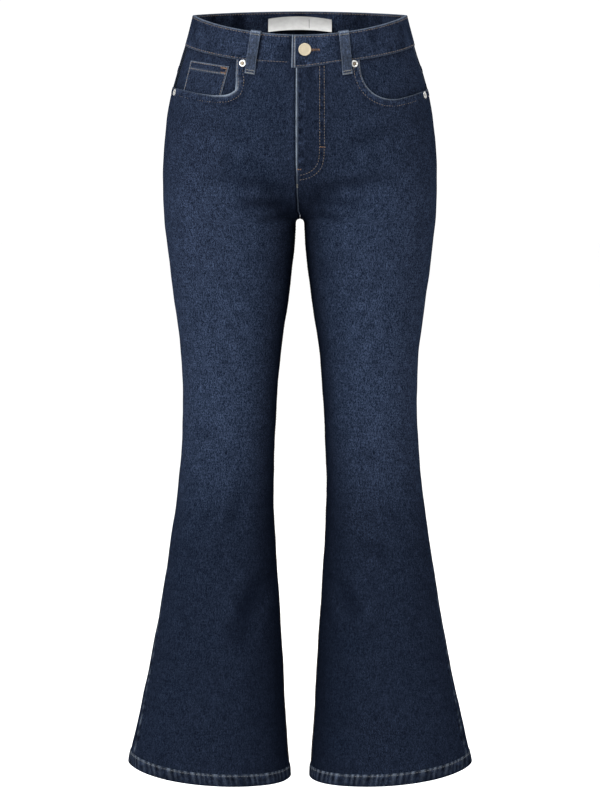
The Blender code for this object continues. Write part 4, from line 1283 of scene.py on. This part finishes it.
def panel_tack(panel, x, z, x_end, z_end, width):
    """A bar tack on a panel, between two places given by their distance from the middle."""
    z = np.array((z, z_end))
    points, normals = panel_line(panel, u_at(np.array((x, x_end)), z, panel.rear), z)
    return bar_tack(points, normals, width, PANEL_TACK_PITCH)


def sew_inseam(panel):
    edge = 0 if panel.rear else girth_to(inner_edge(panel.side, False, INSEAM_HEIGHTS), INSEAM_HEIGHTS, False)
    u = u_at_girth(edge + INSEAM_ROW, INSEAM_HEIGHTS, panel.rear)
    return stitched(*panel_line(panel, u, INSEAM_HEIGHTS))


def sew_front(panel):
    """Topstitching of a front panel: the pocket mouth, the inseam, and on the left the fly."""
    rows, tacks = [], []
    for distance in (MOUTH_ROW, MOUTH_TURN):
        rows += stitched(*panel_line(panel, *beside_mouth(panel.side_name, distance)))
    rows += sew_inseam(panel)
    if panel.side > 0:
        for row in FLY_ROWS:
            x, z = even_path(np.array(row), 120).T
            rows += stitched(*panel_line(panel, np.where(x < 0, x / quarter_girth(z), u_at(x, z)), z))
        tacks = [panel_tack(panel, *place) for place in FLY_TACKS]
    return rows, tacks


def sew_back(panel):
    """Topstitching of a back panel and its yoke: the yoke seam, the centre seam and the inseam."""
    rows = []
    u = np.linspace(0.012, 0.994, 160)
    for distance in DOUBLE_ROW:
        z = yoke_seam(u) + distance
        rows += stitched(panel.place(u, z, 2 * STITCH_LIFT), panel.normal(u, z))
    if panel.side > 0:
        centre = np.linspace(band_seam(0.0, True) - 0.004, CROTCH_HEIGHT + 0.010, 90)
        for distance in DOUBLE_ROW:
            rows += stitched(*panel_line(panel, u_at_girth(distance, centre, True), centre))
    rows += sew_inseam(panel)
    return rows, []


def pocket_line(panel, across, down, out):
    """A sewing line on a back pocket: its points above the cloth, and its normals."""
    points, u, z = pocket_place(panel, across, down, CLOTH + out)
    return points, panel.normal(u, z)


def sew_pocket(panel):
    """A back pocket's double row down its sides and foot, its hem row, and its bar tacks."""
    rows = []
    for inset, top in ((0.0018, 0.0), (0.0075, 0.010 / POCKET_HEIGHT)):
        side = 1 - inset * 2 / POCKET_WIDTH
        foot = 1 - inset / POCKET_HEIGHT
        half_way, way_down = np.linspace(-side, 0, 40), np.linspace(top, foot, 60)
        across = np.concatenate([np.full(60, -side), half_way, np.linspace(0, side, 40), np.full(60, side)])
        down = np.concatenate([way_down, np.full(80, foot), np.linspace(foot, top, 60)])
        rows += stitched(*pocket_line(panel, across, down, 0.0004))
    for inset in (0.0018, 0.0140):
        rows += stitched(*pocket_line(panel, np.linspace(-0.97, 0.97, 90), inset / POCKET_HEIGHT, 0.0005))
    ends = np.array((0.010, 0.095))
    lines = [pocket_line(panel, side, ends, 0.0006) for side in (-0.965, 0.965)]
    return rows, [bar_tack(*line, 0.0024, PANEL_TACK_PITCH) for line in lines]


def coin_line(x, below):
    """A sewing line on the coin pocket, below its mouth."""
    z = COIN_HEAD + COIN_SLOPE * (x - COIN_SIDES[0]) - below
    share = (x - COIN_SIDES[0]) / (COIN_SIDES[1] - COIN_SIDES[0])
    x = x + COIN_LEAN * (1 - share) * below
    return coin_place(x, z, 0.0006), RIGHT_FRONT.normal(u_at(x, FACING_LEVEL), z)


def sew_coin_pocket():
    rows = []
    left, right = COIN_SIDES
    across = np.linspace(left + 0.0015, right - 0.0015, 40)
    down = np.linspace(0.0015, 0.040, 30)
    for below in (0.0016, 0.0100):
        rows += stitched(*coin_line(across, below))
    for x in (left + 0.0016, right - 0.0016):
        rows += stitched(*coin_line(x, down))
    tacks = []
    for x, below, width in COIN_TACKS:
        tacks.append(bar_tack(*coin_line(left + np.array(x), np.array(below)), width))
    return rows, tacks


def band_line(turn, down, out=0.0003):
    """A sewing line on the waistband: its points, and its normals."""
    points = band_place(turn, down, out)
    ahead = band_place(turn + 1e-3, down, out) - points
    return points, unit(np.stack([ahead[:, 1], -ahead[:, 0], 0 * ahead[:, 2]], -1))


def sew_band():
    """Rows along both edges of the waistband and across its lapped end, and inside its back."""
    turn = np.linspace(BAND_FIRST + BAND_STITCH_DOWN / QUARTER, 3.945, 900)
    rows = stitched(*band_line(turn, BAND_STITCH_DOWN))
    droop = 1 - ease((turn - BAND_FIRST) * QUARTER / LAP_DROOP_RUN)
    foot = BAND_HEIGHT + band_lift(turn) + LAP_DROOP * droop
    rows += stitched(*band_line(turn, foot - 0.0026, 0.0003 + 0.0012 * droop))
    down = np.linspace(0.0030, BAND_HEIGHT + LAP_DROOP - 0.0030, 20)
    end = np.full(len(down), BAND_FIRST + 0.0030 / QUARTER)
    rows += stitched(*band_line(end, down, 0.0003 + 0.0012 * down / BAND_HEIGHT))
    points, normals = band_line(np.linspace(1.02, 2.98, 400), BAND_STITCH_DOWN, -BAND_THICK - 0.0002)
    return rows + stitched(points, -normals)


def buttonhole():
    """A satin-stitched slot, mostly under the button: its two long sides and its closed end."""
    start, end = BUTTONHOLE
    hole = []
    for ends, shifts, width, pitch in (((start, end), (0.0010, 0.0003), 0.0019, 0.00042),
                                       ((start, end), (-0.0010, -0.0003), 0.0019, 0.00042),
                                       ((end, end), (-0.0011, 0.0011), 0.0022, 0.00045)):
        line = band_line(np.array(ends) / QUARTER, BUTTON_DOWN + np.array(shifts), 0.0013)
        hole.append(bar_tack(*line, width, pitch))
    return hole


def sew_hem(panels):
    points, _ = hem_ring(np.linspace(0.004, 1.996, 500), HEM_STITCH_DOWN, HEM_PROUD + 0.0003, panels)
    return stitched(points, unit((points - points.mean(axis=0)) * (1, 1, 0)))


def sew_loops():
    """Each loop's tacks, one across its top fold and two across its foot."""
    tacks = []
    for loop in LOOPS:
        for step, width in ((0.07 if loop["rear"] else 0.15, 0.0015), (0.925, 0.0009), (0.980, 0.0009)):
            ends = loop_place(loop, np.array((-0.80, 0.80)), np.full(2, step), LOOP_THICK / 2 + 0.0005)
            above = loop_place(loop, np.zeros(1), np.full(1, step), LOOP_THICK / 2 + 0.0020)
            tacks.append(bar_tack(ends, unit(above - ends.mean(axis=0)), width))
    return tacks


def fly_knot():
    """The small knot where the fly's edge meets the seam below it."""
    z = KNOT[1] + np.array((0.0026, -0.0026))
    return bar_tack(*panel_line(FRONTS[1], KNOT[0] / quarter_girth(z), z, 0.0009), 0.0030)


def turned(name, profile, steps, place, lift, metal):
    """A round piece: its profile (radius, height) spun, then set on the cloth it sits on."""
    point, normal = (Vector(values) for values in place)
    shape = bmesh.new()
    verts = [shape.verts.new((radius, 0, height)) for radius, height in profile]
    edges = [shape.edges.new(pair) for pair in zip(verts, verts[1:])]
    bmesh.ops.spin(shape, geom=verts + edges, cent=(0, 0, 0), axis=(0, 0, 1), angle=2 * math.pi,
                   steps=steps, use_merge=True)
    bmesh.ops.remove_doubles(shape, verts=shape.verts, dist=1e-5)
    bmesh.ops.recalc_face_normals(shape, faces=shape.faces)
    turn = normal.to_track_quat("Z", "Y").to_matrix().to_4x4()
    bmesh.ops.transform(shape, matrix=Matrix.Translation(point + normal * lift) @ turn, verts=shape.verts)
    return finished(name, mesh_of(shape, name, metal))


def spot(side, x, z):
    """A point of the front and its outward normal."""
    z = np.array([z])
    u = u_at(np.array([x]), z)
    return half_point(u, z, False)[0] * (side, 1, 1), half_normal(u, z, False)[0] * (side, 1, 1)


def give(tree, socket, value):
    """Link a socket to another node's, or set its value."""
    if isinstance(value, bpy.types.NodeSocket):
        tree.links.new(value, socket)
    elif value is not None:
        socket.default_value = value


def add(tree, kind, *inputs, **settings):
    """A node with its settings; its inputs, in order, are linked to sockets or set to values."""
    made = tree.nodes.new("ShaderNode" + kind)
    for name, value in settings.items():
        setattr(made, name, value)
    for socket, value in zip(made.inputs, inputs):
        give(tree, socket, value)
    return made


def maths(tree, operation, *values, clamp=False):
    return add(tree, "Math", *values, operation=operation, use_clamp=clamp).outputs[0]


def scaled(tree, vector, x, y, z=1.0):
    return add(tree, "VectorMath", vector, (x, y, z), operation="MULTIPLY").outputs[0]


def noise(tree, vector, detail=2.0, roughness=0.5):
    """Noise about one unit across, from 0 to 1."""
    made = add(tree, "TexNoise", vector)
    for name, value in (("Scale", 1.0), ("Detail", detail), ("Roughness", roughness)):
        give(tree, made.inputs[name], value)
    return made.outputs[0]


def mixed(tree, share, first, second):
    """A colour between two, each a socket or a plain red, green and blue."""
    made = add(tree, "Mix", data_type="RGBA", clamp_factor=True)
    for number, value in ((0, share), (6, first), (7, second)):
        give(tree, made.inputs[number], (*value, 1) if isinstance(value, tuple) else value)
    return made.outputs[2]


def weighted(tree, start, *terms):
    """start plus the sum of (signal - its middle) times its weight."""
    total = start
    for signal, middle, weight in terms:
        offset = maths(tree, "SUBTRACT", signal, middle)
        total = maths(tree, "MULTIPLY_ADD", offset, weight, total)
    return total


def denim_yarns():
    """Indigo denim, as a group: twill, uneven yarns, fading with painted shade, worn edges and puckered
    seams.
    """
    tree = bpy.data.node_groups.new("denim yarns", "ShaderNodeTree")
    for way, kind, names in YARN_SOCKETS:
        for name in names:
            tree.interface.new_socket(name, in_out=way, socket_type="NodeSocket" + kind)
    given = tree.nodes.new("NodeGroupInput").outputs
    times, minus = partial(maths, tree, "MULTIPLY"), partial(maths, tree, "SUBTRACT")
    millimetres = scaled(tree, given["Cloth"], 1000, 1000)
    across, down, _ = add(tree, "SeparateXYZ", millimetres).outputs
    yarn = maths(tree, "FLOOR", maths(tree, "DIVIDE", across, YARN_WIDTH))
    step = maths(tree, "MULTIPLY_ADD", yarn, 1 / 3, maths(tree, "DIVIDE", down, TWILL_REPEAT))
    weft = maths(tree, "LESS_THAN", maths(tree, "FRACT", step), WEFT_SHARE)
    rounded = maths(tree, "ABSOLUTE", maths(tree, "SINE", times(across, math.pi / YARN_WIDTH)))
    place = add(tree, "CombineXYZ", yarn, maths(tree, "FLOOR", step)).outputs[0]
    floats = add(tree, "TexWhiteNoise", place, noise_dimensions="2D").outputs[0]
    streaks = noise(tree, scaled(tree, millimetres, 0.90, 0.09), 3)
    picks = noise(tree, scaled(tree, millimetres, 0.06, 0.55), 2)
    heather = noise(tree, scaled(tree, millimetres, 2.00, 1.90), 1, 0.6)
    mottle = noise(tree, scaled(tree, millimetres, 0.050, 0.035), 4, 0.55)
    lumps = times(minus(noise(tree, scaled(tree, millimetres, 0.13, 0.13), 1), 0.5), 5.0)
    lumps = maths(tree, "MAXIMUM", maths(tree, "MINIMUM", lumps, 1.0), -1.0)
    puckers = times(lumps, given["Pucker"])
    blotches = times(times(minus(mottle, 0.5), given["Mottling"]), times(given["Wash and shade"], 2.0))
    fade_and_shade = weighted(tree, given["Wash and shade"], (blotches, 0.0, 1.0), (puckers, 0.0, 0.20))
    speckle = weighted(tree, 1.0, (heather, 0.5, 3.2), (streaks, 0.5, 1.4), (picks, 0.5, 0.7),
                       (floats, 0.5, 1.5), (weft, WEFT_SHARE, 0.22))
    speckle = maths(tree, "POWER", maths(tree, "MAXIMUM", speckle, 0.30), 1.9)
    colour = mixed(tree, times(fade_and_shade, times(speckle, 0.325)), given["Dark"], given["Light"])
    scuffs = weighted(tree, 1.0, (heather, 0.5, 4.0), (streaks, 0.5, 1.6), (weft, WEFT_SHARE, 0.3))
    colour = mixed(tree, times(given["Wear"], scuffs, clamp=True), colour, given["Worn"])
    height = times(times(rounded, minus(1.0, weft)), 0.00008)
    height = weighted(tree, height, (streaks, 0.5, 0.00016), (heather, 0.5, 0.00015), (mottle, 0.5, 0.0008),
                      (puckers, 0.0, 0.00060))
    result = tree.nodes.new("NodeGroupOutput").inputs
    rough = weighted(tree, 0.92, (heather, 0.5, 0.2))
    for name, value in (("Color", colour), ("Roughness", rough), ("Height", height)):
        give(tree, result[name], value)
    return tree


def surface(name):
    """A new material, and its tree."""
    material = bpy.data.materials.new(name)
    material.use_nodes = True
    return material, material.node_tree


def completed(material, height=None, **inputs):
    """The material with its shader's inputs given, and a bump from a height in metres."""
    tree = material.node_tree
    shader = tree.nodes["Principled BSDF"]
    for name, value in inputs.items():
        give(tree, shader.inputs[SHADER_INPUTS[name]], value)
    if height is not None:
        bump = add(tree, "Bump")
        for name, value in (("Distance", 1.0), ("Height", height)):
            give(tree, bump.inputs[name], value)
        give(tree, shader.inputs["Normal"], bump.outputs[0])
    return material


def on_piece(tree):
    """Millimetres along the object's own axes."""
    return scaled(tree, add(tree, "TexCoord").outputs["Object"], 1000, 1000, 1000)


def along_cloth(tree):
    """Millimetres across and down the flat piece of cloth."""
    return scaled(tree, add(tree, "UVMap", uv_map="cloth").outputs[0], 1000, 1000)


def denim(name, yarns, mottling, *colours):
    """A denim, with its dark, light and worn colours."""
    material, tree = surface(name)
    cloth = add(tree, "UVMap", uv_map="cloth").outputs[0]
    marks = [add(tree, "Attribute", attribute_name=mark).outputs["Fac"] for mark in MARKS]
    group = tree.nodes.new("ShaderNodeGroup")
    group.node_tree = yarns
    for socket, value in zip(group.inputs, (cloth, *marks, mottling, *((*colour, 1) for colour in colours))):
        give(tree, socket, value)
    colour, rough, height = group.outputs
    return completed(material, height, colour=colour, roughness=rough, specular=0.0)


def thread_finish(name, colour, darker):
    """Spun thread, its twist and its dirt along the length."""
    material, tree = surface(name)
    place = on_piece(tree)
    uneven = noise(tree, scaled(tree, place, 0.20, 0.20, 0.20), 3, 0.6)
    twist = noise(tree, scaled(tree, place, 4.0, 4.0, 4.0), 1)
    share = weighted(tree, 0.35, (uneven, 0.5, 2.4), (twist, 0.5, 0.5))
    return completed(material, maths(tree, "MULTIPLY", twist, 0.00012),
                     colour=mixed(tree, share, colour, darker), roughness=0.62, specular=0.3)


def metal(name, colour, stained, roughness):
    """Brushed and lightly worn metal."""
    material, tree = surface(name)
    place = on_piece(tree)
    brushed = noise(tree, scaled(tree, place, 9.0, 1.0, 1.2), 3)
    stains = noise(tree, scaled(tree, place, 0.6, 0.6, 0.6), 4, 0.6)
    shade = mixed(tree, weighted(tree, 0.2, (stains, 0.5, 2.0)), colour, stained)
    rough = weighted(tree, roughness, (brushed, 0.5, 0.18), (stains, 0.5, 0.2))
    height = maths(tree, "MULTIPLY", brushed, 0.00002)
    return completed(material, height, colour=shade, roughness=rough, metallic=1.0)


def label_finish():
    """Off-white woven satin with one thin line across it and no words."""
    material, tree = surface("label satin")
    place = along_cloth(tree)
    across, down, _ = add(tree, "SeparateXYZ", place).outputs
    shade = noise(tree, scaled(tree, place, 0.12, 0.2), 3)
    picks = maths(tree, "ABSOLUTE", maths(tree, "SINE", maths(tree, "MULTIPLY", down, math.pi / 0.35)))
    share = weighted(tree, 0.4, (shade, 0.5, 1.6), (picks, 0.5, 0.25))
    ground = mixed(tree, share, (0.395, 0.395, 0.387), (0.305, 0.305, 0.300))
    beside = maths(tree, "ABSOLUTE", maths(tree, "SUBTRACT", across, LABEL_LINE_AT * 1000))
    from_middle = maths(tree, "ABSOLUTE", maths(tree, "ADD", down, LABEL_HEIGHT * 500))
    line = maths(tree, "MULTIPLY", maths(tree, "LESS_THAN", beside, LABEL_LINE_WIDTH * 500),
                 maths(tree, "LESS_THAN", from_middle, LABEL_LINE_LENGTH * 500))
    return completed(material, maths(tree, "MULTIPLY", picks, 0.00005),
                     colour=mixed(tree, line, ground, (0.10, 0.10, 0.10)), roughness=0.55, sheen=0.15)


def tape_finish():
    """Dark woven zip tape."""
    material, tree = surface("zip tape")
    ribs = add(tree, "TexWave", scaled(tree, along_cloth(tree), 0.25, 0.9)).outputs[1]
    return completed(material, maths(tree, "MULTIPLY", ribs, 0.0001),
                     colour=mixed(tree, ribs, (0.012, 0.016, 0.028), (0.030, 0.038, 0.060)), roughness=0.8)


def floor_finish():
    material, tree = surface("studio floor")
    tint = noise(tree, scaled(tree, add(tree, "TexCoord").outputs["Object"], 0.7, 0.7), 2)
    shade = mixed(tree, tint, (0.93, 0.93, 0.93), (0.96, 0.96, 0.96))
    return completed(material, colour=shade, roughness=0.9)


def zip_teeth():
    """The closed chain: two rows of small teeth that mesh down the middle of the tape."""
    shape = bmesh.new()
    for number in range(TOOTH_COUNT):
        z = TEETH_TOP - number * TOOTH_PITCH
        x = TEETH_MIDDLE + (0.0007 if number % 2 else -0.0007)
        place = strip_place(np.array([x]), np.array([z]), -2 * (CLOTH + UNDER_GAP) + 0.0002)[0]
        tooth = bmesh.ops.create_cube(shape, size=1)["verts"]
        bmesh.ops.scale(shape, vec=(0.0030, 0.0010, TOOTH_PITCH * 0.62), verts=tooth)
        bmesh.ops.translate(shape, vec=place, verts=tooth)
    return finished("zip_teeth", mesh_of(shape, "zip_teeth", ZIP_BRASS))


def zip_slider():
    """The slider's body, bevelled, with a flat pull that hangs from it."""
    low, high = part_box("zip_slider")
    middle, size = (low + high) / 2, high - low
    shape = bmesh.new()
    for share_x, share_z, drop, bevel in ((1.0, 0.62, 0.19, 0.0006), (0.5, 0.46, -0.27, 0.0004)):
        block = bmesh.ops.create_cube(shape, size=1)["verts"]
        bmesh.ops.scale(shape, vec=(size.x * share_x, 0.0016, size.z * share_z), verts=block)
        edges = list({edge for vert in block for edge in vert.link_edges})
        made = bmesh.ops.bevel(shape, geom=block + edges, offset=bevel, segments=2, affect="EDGES",
                               profile=0.5, material=-1)
        block = [vert for vert in shape.verts if vert in made["verts"] or vert in block]
        bmesh.ops.translate(shape, vec=middle + Vector((0, 0, size.z * drop)), verts=block)
    return finished("zip_slider_pull", mesh_of(shape, "zip_slider_pull", ZIP_BRASS))


def aimed(name, data, place, aim):
    """A light or a camera at its place, turned to what it looks at."""
    holder = linked(name, data)
    holder.location = place
    holder.rotation_euler = (Vector(aim) - Vector(place)).to_track_quat("-Z", "Y").to_euler()
    return holder


def area_light(name, place, aim, size, power):
    light = bpy.data.lights.new(name, "AREA")
    light.shape = "DISK"
    light.size = size
    light.energy = power
    aimed(name, light, place, aim)


def studio():
    """A pale floor, soft light and the photograph's camera."""
    floor = bmesh.new()
    bmesh.ops.create_circle(floor, cap_ends=True, radius=FLOOR_RADIUS, segments=96)
    bmesh.ops.translate(floor, vec=(0, 0, FLOOR_HEIGHT), verts=floor.verts)
    linked("floor", mesh_of(floor, "floor", floor_finish()))
    world = bpy.data.worlds.new("studio")
    world.use_nodes = True
    background = world.node_tree.nodes["Background"].inputs
    background["Color"].default_value = (1, 1, 1, 1)
    background["Strength"].default_value = WORLD_LIGHT
    bpy.context.scene.world = world
    for row in LIGHTS:
        area_light(*row)
    camera = bpy.data.cameras.new("camera")
    camera.lens = LENS
    camera.sensor_width = SENSOR_WIDTH
    bpy.context.scene.camera = aimed("camera", camera, CAMERA_PLACE, CAMERA_AIM)
    bpy.context.scene.view_settings.view_transform = "Standard"


def stand_for(piece, node=None):
    """A finer piece takes its node's place, and the node's part is hidden; a cloth piece's node is its name
    without its _cloth ending.
    """
    node = node or piece.name.removesuffix("_cloth")
    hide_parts(node)


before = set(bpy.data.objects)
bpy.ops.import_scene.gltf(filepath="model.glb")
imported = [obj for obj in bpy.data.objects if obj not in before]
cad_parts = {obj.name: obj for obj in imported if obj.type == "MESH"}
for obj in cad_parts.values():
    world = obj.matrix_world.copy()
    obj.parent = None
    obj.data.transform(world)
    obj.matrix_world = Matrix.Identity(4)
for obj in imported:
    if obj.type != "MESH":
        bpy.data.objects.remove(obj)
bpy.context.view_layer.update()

YARNS = denim_yarns()
DENIM = denim("denim", YARNS, 0.45, INDIGO_DARK, INDIGO_LIGHT, INDIGO_WORN)
DENIM_BAND = denim("denim band", YARNS, 1.3, INDIGO_DARK, INDIGO_LIGHT, INDIGO_WORN)
DENIM_INSIDE = denim("denim reverse", YARNS, 0.3, REVERSE_DARK, REVERSE_LIGHT, REVERSE_LIGHT)
BODY_CLOTH = (DENIM, DENIM_INSIDE)
BAND_CLOTH = (DENIM_BAND, DENIM_BAND)
LABEL_CLOTH = label_finish()
ZIP_TAPE = tape_finish()
TAN_THREAD = thread_finish("tan thread", (0.215, 0.165, 0.120), (0.060, 0.062, 0.070))
GREY_THREAD = thread_finish("grey thread", (0.300, 0.285, 0.245), (0.090, 0.095, 0.100))
DARK_THREAD = thread_finish("dark thread", (0.120, 0.125, 0.135), (0.040, 0.046, 0.058))
RUST_THREAD = thread_finish("rust thread", (0.34, 0.185, 0.095), (0.15, 0.095, 0.062))
PALE_BRASS = metal("pale brass", (0.450, 0.394, 0.290), (0.405, 0.351, 0.259), 0.46)
NICKEL = metal("nickel", (0.52, 0.52, 0.505), (0.38, 0.38, 0.37), 0.34)
DARK_BRASS = metal("dark brass", (0.170, 0.140, 0.105), (0.090, 0.080, 0.070), 0.42)
ZIP_BRASS = metal("zip brass", (0.60, 0.46, 0.24), (0.34, 0.26, 0.14), 0.36)

FRONTS = {side: Panel(side, False) for side in SIDE_NAMES}
BACKS = {side: Panel(side, True) for side in SIDE_NAMES}
RIGHT_FRONT = FRONTS[-1]

rows_on, tacks_on = {"front": [], "back": []}, {"front": [], "back": []}
for side, side_name in SIDE_NAMES.items():
    front, back = FRONTS[side], BACKS[side]
    for cloth in (front_panel(front), back_panel(back), yoke(back), facing(front)):
        stand_for(cloth)
    stand_for(hem((front, back)))
    stand_for(back_pocket(back))
    sewn = (("front", sew_front(front)), ("back", sew_back(back)), ("back", sew_pocket(back)))
    for place, (rows, tacks) in sewn:
        rows_on[place] += rows
        tacks_on[place] += tacks
    threads("hem_stitches_" + side_name, sew_hem((front, back)), DARK_THREAD, THREAD_RADIUS)
stand_for(coin_pocket())
stand_for(waistband())
stand_for(label())
for row in STRIPS:
    taped = row["name"] == "zip_tape"
    stand_for(strip(row, (ZIP_TAPE,) if taped else BODY_CLOTH))
for number, loop in enumerate(LOOPS, 1):
    stand_for(belt_loop(number, loop))

coin_rows, coin_tacks = sew_coin_pocket()
threads("front_stitches", rows_on["front"] + coin_rows, TAN_THREAD, THREAD_RADIUS)
threads("back_stitches", rows_on["back"], TAN_THREAD, THREAD_RADIUS)
threads("waistband_stitches", sew_band(), TAN_THREAD, THREAD_RADIUS)
threads("bar_tacks", tacks_on["front"] + tacks_on["back"] + coin_tacks, RUST_THREAD, TACK_RADIUS)
threads("loop_tacks", sew_loops(), GREY_THREAD, TACK_RADIUS)
threads("fly_knot", [fly_knot()], GREY_THREAD, TACK_RADIUS)
threads("buttonhole", buttonhole(), RUST_THREAD, TACK_RADIUS)

button = turned("waist_button", BUTTON_PROFILE, 64, spot(1, *BUTTON_PLACE), BAND_PROUD + SEAM_GAP, PALE_BRASS)
stand_for(button, "button")
for number, rivet in enumerate(RIVETS, 1):
    ring = turned(f"rivet_ring_{number}", RIVET_RING, 40, spot(**rivet), 2 * SEAM_GAP, NICKEL)
    stand_for(ring, f"rivet_{number}")
    pin = turned(f"rivet_pin_{number}", RIVET_PIN, 24, spot(**rivet), 2 * SEAM_GAP, DARK_BRASS)
stand_for(zip_slider(), "zip_slider")
zip_teeth()

studio()
